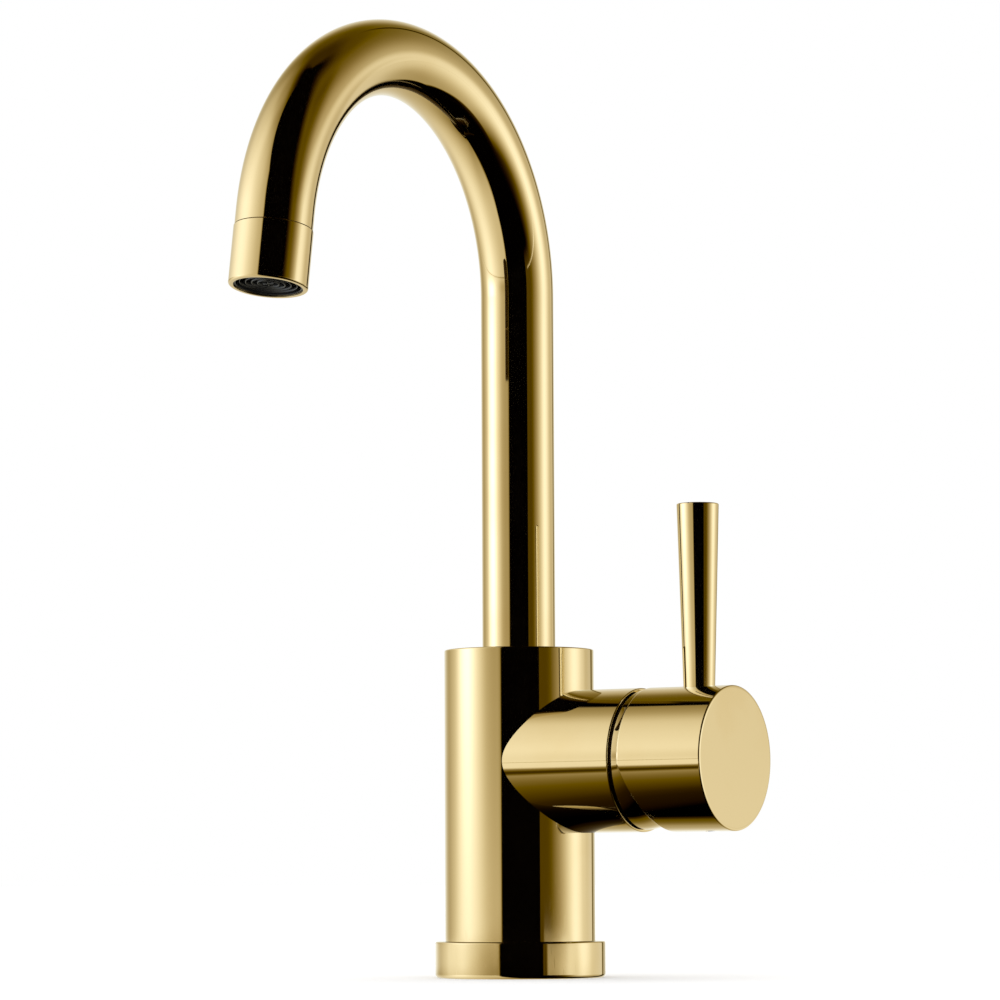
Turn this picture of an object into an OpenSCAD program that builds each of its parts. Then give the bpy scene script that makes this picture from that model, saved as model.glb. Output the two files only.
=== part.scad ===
// Basin mixer tap with a swan-neck spout and a side lever, all on one round body.
// Z is up and the origin is on the body's axis at deck level.
// The spout points along -Y, the lever's axis along +X, and its rod stands up along +Z.
// Screw threads are plain cylinders at their tapping or major diameter.

/* [Body] */
// Diameter of the round body
body_d = 45; // [44:0.5:56]
// Height of the body's flat top above the deck
body_h = 98.1; // [92:0.1:120]
// How far the base flange stands out past the body
flange_rim = 3; // [3:0.5:10]
// Height of the base flange
flange_h = 10.8; // [8:0.2:16]
// Step from the body's side in to the spigot that sits in the flange
spigot_step = 2.5; // [2:0.1:3]
// Width of the rubber ring under the flange
gasket_w = 2.4; // [1.6:0.1:3]
// Thickness of the rubber ring under the flange
gasket_t = 1.5; // [1:0.1:2.5]
// Rounding of the body's and the flange's outer edges
edge_r = 0.6; // [0.2:0.1:1]

/* [Water inlets and fixing] */
// Tapping diameter of the two hose threads, M10 x 1
hose_d = 9; // [8:0.1:9.5]
// Depth of the hose threads
hose_depth = 12; // [8:0.5:16]
// Distance of the hose threads from the body's axis, towards the lever
inlet_x = 5; // [4.5:0.1:6]
// Distance of each hose thread to the side of the lever's plane
inlet_y = 9; // [8.5:0.1:10]
// Diameter of the drilled waterways from the inlets
waterway_d = 6.8; // [5:0.1:7]
// Tapping diameter of the fixing stud's thread, M8
stud_d = 6.8; // [5:0.1:7]
// Depth of the fixing stud's thread
stud_depth = 18; // [10:0.5:24]
// Distance of the fixing stud behind the body's axis, away from the lever
stud_x = 13; // [12:0.1:14.5]

/* [Spout] */
// Outside diameter of the spout tube
tube_d = 22; // [20:0.1:23]
// Wall of the spout tube
tube_wall = 1.5; // [1:0.1:2]
// Radius of the spout's arc along the tube's centre line
arc_r = 63; // [40:0.5:90]
// Angle that the arc turns through
arc_angle = 171; // [120:1:180]
// Height of the arc's centre above the deck
arc_h = 205.2; // [140:0.1:280]
// Straight length of tube after the arc
nose_len = 4.9; // [4:0.1:20]
// How much the outlet sleeve's radius is larger than the tube's
sleeve_step = 0.2; // [0:0.05:0.6]
// Length of the outlet sleeve
sleeve_len = 17.1; // [16:0.1:24]
// Wall of the outlet sleeve
sleeve_wall = 1.1; // [0.9:0.05:1.6]
// Open joint between the tube and the sleeve
seam = 0.25; // [0.1:0.05:0.5]
// Depth of the sleeve's inner lip at the mouth
lip_h = 0.8; // [0.5:0.1:1.5]
// How far the lip stands in past the sleeve's bore
lip_in = 0.35; // [0.2:0.05:0.8]
// Wall of the threaded nipple that joins the sleeve to the tube
nipple_wall = 1.9; // [1.2:0.1:2.5]
// Length of the nipple in the sleeve
nipple_len = 5.6; // [4:0.1:6]
// Thickness of the aerator's rubber ring
aerator_seal_t = 1.6; // [1:0.1:2]
// Thickness of the aerator's strainer
strainer_t = 0.5; // [0.3:0.1:1]
// Thickness of the flow regulator
regulator_t = 2.6; // [1.5:0.1:3]
// How far the aerator's face sits in from the mouth
recess = 0.4; // [0.1:0.05:0.6]
// Number of ridges on the aerator's face
ridge_count = 5; // [2:1:6]
// Width of each ridge on the aerator's face
ridge_w = 0.8; // [0.5:0.05:1.1]

/* [Spout foot] */
// Depth of the tube's end in the body
tube_seat = 3.4; // [2:0.1:6]
// Height of the two glide rings on the spout's foot
glide_h = 2.5; // [1.5:0.1:4]
// Radial depth of the glide rings
glide_depth = 1.3; // [0.8:0.1:1.6]
// Height of the lands between the foot's grooves
land_h = 1; // [0.6:0.1:2]
// Height of the groove that the lock screw runs in
lock_h = 2.2; // [2.1:0.1:3]
// Depth of the groove that the lock screw runs in
lock_depth = 1.5; // [1:0.1:2]
// Thickness of the foot's O-rings
oring_d = 2.4; // [1.6:0.1:3]
// Thickness of the washer that the spout turns on
washer_t = 1.2; // [0.8:0.1:2]
// Bore of the spout's foot
foot_bore = 13; // [8:0.5:14]
// Length of the foot's spigot inside the tube
foot_spigot = 9; // [5:0.5:20]
// Diameter of the lock screw, M5
lock_screw_d = 5; // [4:0.5:5]
// Diameter of the lock screw's point
lock_point_d = 2; // [1.5:0.1:2.1]
// Length of the lock screw's threaded part
lock_screw_len = 8; // [5:0.5:9]

/* [Side branch and lever cap] */
// Height of the lever's axis above the deck
axis_h = 64.2; // [54:0.1:68]
// Diameter of the side branch and of the lever cap
lever_d = 42.5; // [41.5:0.1:43]
// Width of the dark groove between the branch and the dome ring
groove_w = 1.3; // [0.8:0.1:2.5]
// Width of the dome ring that shows past the cap's back edge
ring_show = 1.5; // [1:0.1:3]
// How much the dome's radius is smaller than the branch's
dome_step = 0.55; // [0.5:0.05:0.8]
// Wall of the dome
dome_wall = 2; // [1.5:0.1:2.2]
// Radius of the opening in the dome
dome_hole_r = 13; // [12.5:0.1:14]
// Clearance between the dome and the cap's hollow
dome_gap = 0.3; // [0.2:0.05:0.4]
// Length of the lever cap
cap_len = 28.2; // [26:0.1:36]
// Height below the axis at which the cap's slanted cut begins
cut_drop = 2; // [1:0.5:6]
// Spare angle of the slanted cut past the lever's tilt
cut_spare = 1; // [0:0.5:4]
// Distance of the rod's axis from the cap's face
rod_inset = 12; // [10:0.1:12.5]
// Length of the rod from its seat to its top
rod_len = 54.56; // [30:0.1:90]
// Diameter of the rod at its seat
rod_d = 9.3; // [8:0.1:11]
// Diameter of the rod at its top
rod_top_d = 12.5; // [8:0.1:14]
// Depth of the rod's seat below the cap's side
rod_sink = 0.3; // [0.2:0.05:0.5]
// Diameter of the rod's threaded end, M6
rod_stud_d = 6; // [5:0.5:6]
// Length of the rod's threaded end
rod_stud_len = 7; // [5:0.5:7]
// Rounding of the rod's top edge and the cap's face edge
lever_edge_r = 0.4; // [0.2:0.1:0.8]
// Diameter of the grub screw under the cap, M5
grub_d = 5; // [4:0.5:6]
// Length of the grub screw
grub_len = 8; // [5:0.5:12]
// Distance of the grub screw from the cap's face
grub_inset = 7.5; // [7:0.1:9]

/* [Cartridge] */
// Wall between the spout's socket and the cartridge chamber
partition = 3.4; // [2:0.1:6]
// Diameter of the cartridge chamber
chamber_d = 35.2; // [34.5:0.1:35.6]
// How much the nut's thread is larger in radius than the chamber
thread_step = 1.4; // [1:0.1:1.6]
// Wall of the cartridge's housing
housing_wall = 2.5; // [2:0.1:3]
// Thickness of the housing's shoulder under the nut
shoulder_t = 2.2; // [1.5:0.1:3]
// Thickness of the cartridge's base
base_t = 4.5; // [3.5:0.1:6]
// Thickness of the base's outer flange
base_flange_t = 2; // [1.2:0.1:2.6]
// Diameter and length of the base's two locating pegs
peg_d = 2.8; // [2:0.1:3.4]
// Distance of the locating pegs from the cartridge's axis, along Y
peg_y = 10.9; // [9.5:0.1:11.5]
// Depth of the locating pegs below the cartridge's axis
peg_z = 7; // [6:0.1:9]
// Thickness of the seals under and above the base
seal_t = 1.1; // [0.8:0.1:1.4]
// Radial width of those seals
seal_w = 1.3; // [1:0.1:1.6]
// Thickness of each ceramic disc
disc_t = 3; // [2:0.1:4]
// Diameter of the ports through the base and the fixed disc
port_d = 4.4; // [3:0.1:5]
// Distance of the inlet ports from the cartridge's axis, along Y
port_y = 6.5; // [6:0.1:7]
// Height of the inlet ports above the cartridge's axis
port_z = 4.5; // [4.5:0.1:5.5]
// Depth of the outlet port below the cartridge's axis
out_z = 5; // [4.5:0.1:6]
// Depth of the mixing hollow in the moving disc
hollow_depth = 1.8; // [1:0.1:1.9]
// Height of the carrier that slides the moving disc
slider_t = 4.6; // [4:0.1:6]
// How far that carrier stands out past the moving disc
slider_lip = 1; // [0.5:0.1:1.5]
// Floor of that carrier under the stem's ball
slider_floor = 0.8; // [0.6:0.1:1.2]
// Width of the guide rails between the slider and the turning carrier
rail_w = 1.8; // [1:0.1:2.4]
// Height of the guide rails
rail_h = 1.2; // [0.8:0.1:1.6]
// Distance of the guide rails from the axis
rail_y = 8.6; // [7.5:0.1:9]
// Thickness of the turning carrier's flange
turner_t = 3; // [2:0.1:4]
// Radius of the turning carrier's neck
neck_r = 10.6; // [10:0.1:11]
// Distance from the carrier's flange to the lever's pivot
pivot_rise = 9.8; // [9:0.1:14]
// Length of the carrier's neck past the pivot
neck_past = 4; // [3:0.1:4.5]
// Length of the branch past the pivot
mouth_past = 1.2; // [0.8:0.1:2]
// Wall of the housing's neck
collar_wall = 2.9; // [2:0.1:3]
// Length of the housing's neck past its shoulder
collar_len = 5.4; // [5:0.1:6]
// Height of the cartridge nut
nut_t = 4.5; // [3:0.1:4.8]
// Height of the temperature stop ring
stop_t = 2.1; // [1.8:0.1:2.4]
// Radial width of the temperature stop ring
stop_w = 3.1; // [2:0.1:3.3]
// Half the angle of the tab that meets the stop
tab_half = 10; // [5:1:20]
// Width of the stem's square bar
shank_w = 7; // [6:0.1:7.5]
// Radius of the ball at the stem's inner end
ball_r = 2.2; // [1.8:0.1:2.4]
// Radius of the stem's inner arm
arm_r = 1.7; // [1.2:0.1:1.8]
// Depth of the stem's bar in the cap
shank_grip = 7; // [5:0.1:7.5]
// Diameter of the pivot pin
pin_d = 3; // [2:0.1:3.5]

/* [Motion] */
// Swing of the spout to each side
swing = 60; // [20:5:80]
// Turn of the lever to each side for temperature
turn = 45; // [20:5:50]
// Tilt of the lever from closed to full flow
tilt = 20; // [12:1:22]

/* [Fits] */
// Radial clearance of parts that turn in each other
run_gap = 0.08; // [0.03:0.01:0.1]
// Radial clearance of parts that are fixed in each other
fix_gap = 0.05; // [0.03:0.01:0.1]
// Clearance of loose guides, such as the ball in its hole
play = 0.3; // [0.3:0.05:0.4]

/* [Hidden] */
$fn = 96;

// Amount that a cut runs past a face
over = 1;
// Steps in a rounded edge
round_steps = 6;
// The straight nose laps the arc's end by this length, and stands proud of it by this skin
nose_lap = 0.3;
nose_skin = 0.02;
// Spare angle of a stop past the end of the motion that it limits
stop_spare = 2;
// Depth that a waterway is drilled past its cross port
drill_past = 1;

body_r = body_d / 2;
flange_r = body_r + flange_rim;
spigot_r = body_r - spigot_step;
flange_bore_r = spigot_r + fix_gap;
gasket_r = (flange_bore_r + flange_r) / 2;
hose_r = hose_d / 2;
waterway_r = waterway_d / 2;
stud_r = stud_d / 2;

// Spout
tube_r = tube_d / 2;
tube_bore_r = tube_r - tube_wall;
socket_r = tube_r + run_gap;
sleeve_r = tube_r + sleeve_step;
sleeve_bore_r = sleeve_r - sleeve_wall;
lip_r = sleeve_bore_r - lip_in;
nipple_r = sleeve_bore_r - fix_gap;
sleeve_z = nose_len + seam;
mouth_z = nose_len + sleeve_len;
lip_z = mouth_z - lip_h;
seal_z = nose_len + nipple_len;
strainer_z = seal_z + aerator_seal_t;
regulator_z = strainer_z + strainer_t;
face_z = regulator_z + regulator_t;
insert_r = sleeve_bore_r - fix_gap;
face_r = lip_r - fix_gap;
ridge_pitch = face_r / (ridge_count + 0.7);

// Spout foot, worked out from the tube's end downwards
tube_end = body_h - tube_seat;
glide_top_z = tube_end - glide_h;
lock_z = glide_top_z - land_h - lock_h;
oring_groove_h = oring_d + 2 * fix_gap;
oring_top_z = lock_z - land_h - oring_groove_h;
oring_low_z = oring_top_z - land_h - oring_groove_h;
glide_low_z = oring_low_z - land_h - glide_h;
foot_z = glide_low_z - land_h;
socket_z = foot_z - fix_gap - washer_t;
lock_axis_z = lock_z + lock_h / 2;
lock_r = tube_r - lock_depth;
lock_sweep = swing + asin(lock_point_d / 2 / lock_r) + stop_spare;
lock_tip = lock_r + play;
lock_start = socket_r + play;

// Lever line, worked out from the spout's socket outwards along X
lever_r = lever_d / 2;
chamber_r = chamber_d / 2;
chamber_x = socket_r + partition;
fixed_x = chamber_x + base_t;
moving_x = fixed_x + disc_t;
slider_x = moving_x + disc_t;
turner_x = slider_x + slider_t + run_gap;
shoulder_x = turner_x + turner_t + run_gap;
nut_x = shoulder_x + shoulder_t;
stop_x = nut_x + nut_t;
collar_x = nut_x + collar_len;
pivot_x = turner_x + turner_t + pivot_rise;
branch_x = pivot_x + mouth_past;
dome_x = branch_x + groove_w;
cap_x = dome_x + ring_show;
cap_face_x = cap_x + cap_len;
rod_x = cap_face_x - rod_inset;
grub_x = cap_face_x - grub_inset;

// Cartridge radii
housing_r = chamber_r - fix_gap;
housing_in_r = housing_r - housing_wall;
nut_r = chamber_r + thread_step;
nut_out_r = nut_r - fix_gap;
collar_in_r = neck_r + run_gap;
collar_r = collar_in_r + collar_wall;
flange_fit_r = housing_in_r - play;
stop_in_r = collar_r + fix_gap;
stop_out_r = stop_in_r + stop_w;
tab_x = collar_x + run_gap;
tab_t = stop_x + stop_t - tab_x;
tab_r = collar_r - play;
lug_in_r = neck_r + play;
port_r = port_d / 2;
outlet_drill_z = axis_h - out_z - port_r - drill_past;

// Stem and slider. The inner arm leans back by half the tilt, so the disc is centred at half flow.
ball_x = slider_x + slider_floor + play + ball_r;
arm_drop = (pivot_x - ball_x) * tan(tilt / 2);
arm_len = (pivot_x - ball_x) / cos(tilt / 2);
ball_dip = arm_len * (1 - cos(tilt / 2));
slider_r = housing_in_r - arm_drop - play;
moving_r = slider_r - slider_lip;
slot_half_y = shank_w / 2 + run_gap;
slot_half_z = max(neck_past * tan(tilt) + shank_w / 2 / cos(tilt), arm_drop + ball_r) + play;
pin_r = pin_d / 2;
pin_half = sqrt(pow(neck_r, 2) - pow(pin_r, 2)) - play;

// Dome and cap share the lever's pivot as their centre
dome_r = lever_r - dome_step;
dome_bore_r = nut_r - dome_wall;
hollow_r = dome_r + dome_gap;
shank_end = hollow_r + shank_grip;
shank_hole_w = shank_w + 2 * fix_gap;
cut_angle = tilt + cut_spare;
rod_r = rod_d / 2;
rod_seat = sqrt(pow(lever_r, 2) - pow(rod_r, 2)) - rod_sink;
rod_stud_r = rod_stud_d / 2;
grub_r = grub_d / 2;
grub_point_r = 1.5;
grub_point_len = 1;

// Colours
GOLD = [0.86, 0.72, 0.44];
RAW_BRASS = [0.72, 0.58, 0.33];
STEEL = [0.62, 0.63, 0.65];
BLACK = [0.05, 0.05, 0.06];
RUBBER = [0.1, 0.1, 0.1];
GLIDE = [0.9, 0.9, 0.86];
CERAMIC = [0.94, 0.93, 0.9];
ACETAL = [0.85, 0.86, 0.84];
GREY = [0.4, 0.42, 0.45];

// Points of an arc about (x, y) from angle a0 to a1
function arc_points(x, y, r, a0, a1) =
    [for (i = [0:round_steps]) let (a = a0 + (a1 - a0) * i / round_steps)
        [x + r * cos(a), y + r * sin(a)]];

// A ring of square section, standing on z = 0
module ring(r_out, r_in, h) {
    rotate_extrude()
        translate([r_in, 0])
            square([r_out - r_in, h]);
}

// A round bar that stands on z = 0, with its top edge rounded by e and its bottom edge by b
module rounded_bar(r, h, e, b = 0) {
    low = b > 0 ? arc_points(r - b, b, b, -90, 0) : [[r, 0]];
    rotate_extrude()
        polygon(concat([[0, 0]], low, arc_points(r - e, h - e, e, 0, 90), [[0, h]]));
}

// Places children on the lever's axis at x: their +Z runs along +X and their +X points down
module on_lever(x) {
    translate([x, 0, axis_h])
        rotate([0, 90, 0])
            children();
}

// Places children at the end of the spout's arc: their +Z runs the way the water flows
module on_outlet(z = 0) {
    translate([0, arc_r * (cos(arc_angle) - 1), arc_h + arc_r * sin(arc_angle)])
        rotate([arc_angle, 0, 0])
            translate([0, 0, z])
                children();
}

// The three ports of the cartridge, for children that stand on its axis at x
module at_ports(x) {
    on_lever(x) {
        for (side = [-1, 1])
            translate([-port_z, side * port_y, 0])
                children();
        translate([out_z, 0, 0])
            children();
    }
}

// A grub screw along +Z from its tip, with a hexagon socket half as wide as the screw
module grub(r, length, point_r, point_len) {
    socket_depth = length * 0.45;
    difference() {
        union() {
            translate([0, 0, point_len])
                cylinder(r = r, h = length);
            cylinder(r = point_r, h = point_len + over);
        }
        translate([0, 0, point_len + length - socket_depth])
            cylinder(r = r / sqrt(3), h = length, $fn = 6);
    }
}

// Brass body with its side branch, spout socket, cartridge chamber and waterways
module body() {
    color(GOLD)
    difference() {
        union() {
            cylinder(r = spigot_r, h = flange_h);
            translate([0, 0, flange_h])
                rounded_bar(body_r, body_h - flange_h, edge_r);
            on_lever(0)
                rounded_bar(lever_r, branch_x, edge_r);
        }
        translate([0, 0, socket_z])
            cylinder(r = socket_r, h = body_h);
        on_lever(chamber_x)
            cylinder(r = chamber_r, h = branch_x);
        on_lever(nut_x)
            cylinder(r = nut_r, h = branch_x);
        for (side = [-1, 1]) {
            translate([inlet_x, side * inlet_y, -over])
                cylinder(r = hose_r, h = hose_depth + over);
            translate([inlet_x, side * inlet_y, 0])
                cylinder(r = waterway_r, h = axis_h + port_z + port_r + drill_past);
            on_lever(inlet_x)
                translate([-port_z, side * port_y, 0])
                    cylinder(r = port_r, h = chamber_x);
            on_lever(chamber_x - peg_d)
                translate([peg_z, side * peg_y, 0])
                    cylinder(r = peg_d / 2 + fix_gap, h = peg_d + over);
        }
        on_lever(0)
            translate([out_z, 0, 0])
                cylinder(r = port_r, h = chamber_x + over);
        translate([0, 0, outlet_drill_z])
            cylinder(r = waterway_r, h = socket_z - outlet_drill_z + over);
        translate([-stud_x, 0, -over])
            cylinder(r = stud_r, h = stud_depth + over);
        translate([0, 0, lock_axis_z])
            rotate([-90, 0, 0])
                cylinder(r = lock_screw_d / 2 + fix_gap, h = body_d);
    }
}

// Loose ring round the body's spigot, which hides the hole in the deck
module base_flange() {
    color(GOLD)
    difference() {
        rounded_bar(flange_r, flange_h, edge_r, edge_r);
        translate([0, 0, -over])
            cylinder(r = flange_bore_r, h = flange_h + 2 * over);
        translate([0, 0, -over])
            ring(gasket_r + gasket_w / 2 + fix_gap, gasket_r - gasket_w / 2 - fix_gap, gasket_t + over);
    }
}

// Rubber ring in the flange's underside
module base_gasket() {
    color(RUBBER)
        ring(gasket_r + gasket_w / 2, gasket_r - gasket_w / 2, gasket_t);
}

// Bent tube: a riser, the arc and a short straight nose
module spout_tube() {
    color(GOLD) {
        translate([0, 0, tube_end])
            ring(tube_r, tube_bore_r, arc_h - tube_end);
        translate([0, -arc_r, arc_h])
            rotate([90, 0, 90])
                rotate_extrude(angle = arc_angle)
                    translate([arc_r, 0])
                        difference() {
                            circle(r = tube_r);
                            circle(r = tube_bore_r);
                        }
        on_outlet(-nose_lap)
            ring(tube_r + nose_skin, tube_bore_r - nose_skin, nose_len + nose_lap);
    }
}

// Turned brass foot, brazed into the tube. Its lock groove stops the spout's swing.
module spout_foot() {
    groove_bottom = tube_r - oring_d - fix_gap;
    glide_bottom = tube_r - glide_depth - fix_gap;
    color(RAW_BRASS)
    difference() {
        union() {
            translate([0, 0, foot_z])
                cylinder(r = tube_r, h = tube_end - foot_z);
            translate([0, 0, tube_end - over])
                cylinder(r = tube_bore_r - fix_gap, h = foot_spigot + over);
        }
        translate([0, 0, foot_z - over])
            cylinder(r = foot_bore / 2, h = body_h);
        for (z = [oring_low_z, oring_top_z])
            translate([0, 0, z])
                ring(tube_r + over, groove_bottom, oring_groove_h);
        translate([0, 0, glide_low_z])
            ring(tube_r + over, glide_bottom, glide_h);
        translate([0, 0, glide_top_z])
            ring(tube_r + over, glide_bottom, glide_h);
        translate([0, 0, lock_z])
            rotate([0, 0, 90 - lock_sweep])
                rotate_extrude(angle = 2 * lock_sweep)
                    translate([lock_r, 0])
                        square([lock_depth + over, lock_h]);
    }
}

module foot_oring(z) {
    color(RUBBER)
        translate([0, 0, z + oring_groove_h / 2])
            rotate_extrude()
                translate([tube_r - oring_d / 2, 0])
                    circle(d = oring_d);
}

module foot_glide(z) {
    color(GLIDE)
        translate([0, 0, z + fix_gap])
            ring(tube_r, tube_r - glide_depth, glide_h - 2 * fix_gap);
}

module spout_oring_lower() { foot_oring(oring_low_z); }
module spout_oring_upper() { foot_oring(oring_top_z); }
module spout_glide_lower() { foot_glide(glide_low_z); }
module spout_glide_upper() { foot_glide(glide_top_z); }

// Plastic washer on the socket's floor, which carries the spout
module spout_washer() {
    color(GLIDE)
        translate([0, 0, socket_z])
            ring(tube_r, foot_bore / 2, washer_t);
}

// Screw in the back of the body, with its point in the foot's lock groove
module spout_lock_screw() {
    color(STEEL)
        translate([0, lock_tip, lock_axis_z])
            rotate([-90, 0, 0])
                grub(lock_screw_d / 2, lock_screw_len, lock_point_d / 2, lock_start - lock_tip);
}

// Brass nipple in the tube's end, with the sleeve's thread below it
module outlet_nipple() {
    plug_r = tube_bore_r - fix_gap;
    color(RAW_BRASS)
    on_outlet()
    difference() {
        union() {
            translate([0, 0, fix_gap])
                cylinder(r = plug_r, h = nose_len);
            translate([0, 0, nose_len])
                cylinder(r = nipple_r, h = nipple_len);
        }
        translate([0, 0, -over])
            cylinder(r = plug_r - nipple_wall, h = seal_z + 2 * over);
    }
}

// Outlet sleeve, which screws on the nipple and holds the aerator on its inner lip
module aerator_sleeve() {
    color(GOLD)
    on_outlet(sleeve_z)
    difference() {
        rounded_bar(sleeve_r, mouth_z - sleeve_z, edge_r);
        translate([0, 0, -over])
            cylinder(r = sleeve_bore_r, h = lip_z - sleeve_z + over);
        cylinder(r = lip_r, h = sleeve_len + over);
    }
}

module aerator_seal() {
    color(RUBBER)
        on_outlet(seal_z)
            ring(insert_r, insert_r - nipple_wall, aerator_seal_t);
}

// Fine strainer, a thin disc with rings of small holes
module aerator_strainer() {
    hole_r = 0.45;
    ring_step = 2;
    color(STEEL)
    on_outlet(strainer_z)
    difference() {
        cylinder(r = insert_r, h = strainer_t);
        for (k = [1:3], i = [0:6 * k - 1])
            rotate([0, 0, i * 60 / k])
                translate([k * ring_step, 0, -over])
                    cylinder(r = hole_r, h = strainer_t + 2 * over);
    }
}

// Plastic disc that limits the flow through one ring of holes
module flow_regulator() {
    hole_count = 8;
    hole_r = 0.8;
    color(GREY)
    on_outlet(regulator_z)
    difference() {
        cylinder(r = insert_r, h = regulator_t);
        for (i = [0:hole_count - 1])
            rotate([0, 0, i * 360 / hole_count])
                translate([insert_r / 2, 0, -over])
                    cylinder(r = hole_r, h = regulator_t + 2 * over);
    }
}

// Black aerator with ring-shaped slots between its ridges, seen in the spout's mouth
module aerator_face() {
    spoke_count = 3;
    spoke_w = 1.2;
    slot_w = ridge_pitch - ridge_w;
    plate_h = lip_z - face_z;
    color(BLACK)
    on_outlet(face_z)
    union() {
        difference() {
            cylinder(r = insert_r, h = plate_h);
            for (k = [1:ridge_count])
                translate([0, 0, -over])
                    ring(k * ridge_pitch + slot_w, k * ridge_pitch, plate_h + 2 * over);
        }
        intersection() {
            cylinder(r = face_r, h = plate_h / 2);
            for (i = [0:spoke_count - 1])
                rotate([0, 0, i * 180 / spoke_count])
                    translate([-face_r, -spoke_w / 2, 0])
                        cube([2 * face_r, spoke_w, plate_h / 2]);
        }
        translate([0, 0, plate_h - fix_gap])
            ring(face_r, face_r - ridge_w / 2, lip_h - recess + fix_gap);
    }
}

// Plastic base of the cartridge, with ports, seal recesses and locating pegs
module cartridge_base() {
    color(ACETAL)
    difference() {
        union() {
            on_lever(chamber_x) {
                cylinder(r = housing_r, h = base_flange_t);
                cylinder(r = housing_in_r - fix_gap, h = base_t);
                for (side = [-1, 1])
                    translate([peg_z, side * peg_y, -peg_d + play])
                        cylinder(r = peg_d / 2, h = peg_d);
            }
        }
        at_ports(chamber_x - over)
            cylinder(r = port_r, h = base_t + 2 * over);
        at_ports(chamber_x - over)
            cylinder(r = port_r + seal_w + fix_gap, h = seal_t + over);
        at_ports(fixed_x - seal_t)
            cylinder(r = port_r + seal_w + fix_gap, h = seal_t + over);
    }
}

module base_seals() {
    color(RUBBER)
        at_ports(chamber_x)
            ring(port_r + seal_w, port_r, seal_t);
}

module disc_seals() {
    color(RUBBER)
        at_ports(fixed_x - seal_t)
            ring(port_r + seal_w, port_r, seal_t);
}

module fixed_disc() {
    color(CERAMIC)
    difference() {
        on_lever(fixed_x)
            cylinder(r = housing_in_r - fix_gap, h = disc_t);
        at_ports(fixed_x - over)
            cylinder(r = port_r, h = disc_t + 2 * over);
    }
}

// Places children at the moving disc's centre with the lever closed
module on_slider(x) {
    on_lever(x)
        translate([arm_drop, 0, 0])
            children();
}

// Ceramic disc that slides and turns on the fixed one, with a mixing hollow in its face
module moving_disc() {
    lobe_r = 3;
    lobe_in = 2;
    color(CERAMIC)
    on_slider(moving_x)
    difference() {
        cylinder(r = moving_r, h = disc_t);
        translate([0, 0, -over])
            linear_extrude(height = hollow_depth + over)
                union() {
                    translate([out_z - arm_drop, 0])
                        circle(r = port_d);
                    for (side = [-1, 1])
                        translate([arm_drop - port_z, side * (port_y - lobe_in)])
                            circle(r = lobe_r);
                }
    }
}

// Plastic carrier on the moving disc, pushed by the stem's ball and guided by two rails
module disc_slider() {
    color(GREY)
    on_slider(slider_x)
    difference() {
        cylinder(r = slider_r, h = slider_t);
        translate([0, 0, slider_floor])
            cylinder(r = ball_r + play, h = slider_t);
        for (side = [-1, 1])
            translate([-slider_r, side * rail_y - rail_w / 2 - run_gap, slider_t - rail_h - play])
                cube([2 * slider_r, rail_w + 2 * run_gap, rail_h + play + over]);
    }
}

// Carrier that turns with the lever in the housing and holds the stem's pin
module turn_carrier() {
    color(ACETAL)
    difference() {
        on_lever(turner_x) {
            cylinder(r = flange_fit_r, h = turner_t);
            cylinder(r = neck_r, h = turner_t + pivot_rise + neck_past);
            for (side = [-1, 1])
                translate([-neck_r / 2, side * rail_y - rail_w / 2, -rail_h])
                    cube([neck_r, rail_w, rail_h + over]);
            translate([0, 0, tab_x - turner_x])
                rotate([0, 0, 180 - tab_half])
                    rotate_extrude(angle = 2 * tab_half)
                        translate([neck_r - over, 0])
                            square([tab_r - neck_r + over, tab_t]);
        }
        translate([turner_x - rail_h - over, -slot_half_y, axis_h - slot_half_z])
            cube([turner_t + pivot_rise + neck_past + rail_h + 2 * over, 2 * slot_half_y, 2 * slot_half_z]);
        translate([pivot_x, 0, axis_h])
            rotate([90, 0, 0])
                cylinder(r = pin_r + fix_gap, h = 2 * neck_r, center = true);
    }
}

// Plastic cup over the discs, with the shoulder that the nut presses on
module cartridge_housing() {
    housing_x = chamber_x + base_flange_t;
    color(GREY)
    difference() {
        union() {
            on_lever(housing_x)
                cylinder(r = housing_r, h = nut_x - housing_x);
            on_lever(nut_x - over)
                cylinder(r = collar_r, h = collar_len + over);
        }
        on_lever(housing_x - over)
            cylinder(r = housing_in_r, h = shoulder_x - housing_x + over);
        on_lever(shoulder_x - over)
            cylinder(r = collar_in_r, h = branch_x);
    }
}

// Brass nut that holds the cartridge down, with slots for its key
module cartridge_nut() {
    slot_count = 6;
    slot_w = 3;
    color(RAW_BRASS)
    on_lever(nut_x)
    difference() {
        ring(nut_out_r, collar_r + play, nut_t);
        for (i = [0:slot_count - 1])
            rotate([0, 0, i * 360 / slot_count])
                translate([collar_r, -slot_w / 2, nut_t / 2])
                    cube([nut_out_r - collar_r - over, slot_w, nut_t]);
    }
}

// Ring on the nut, whose lug stops the carrier's tab at both ends of the turn
module temperature_stop() {
    lug_gap = turn + tab_half + stop_spare;
    color(BLACK)
    on_lever(stop_x) {
        ring(stop_out_r, stop_in_r, stop_t);
        translate([0, 0, tab_x - stop_x])
            rotate([0, 0, 180 + lug_gap])
                rotate_extrude(angle = 360 - 2 * lug_gap)
                    translate([lug_in_r, 0])
                        square([stop_in_r - lug_in_r + over, tab_t]);
    }
}

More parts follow.
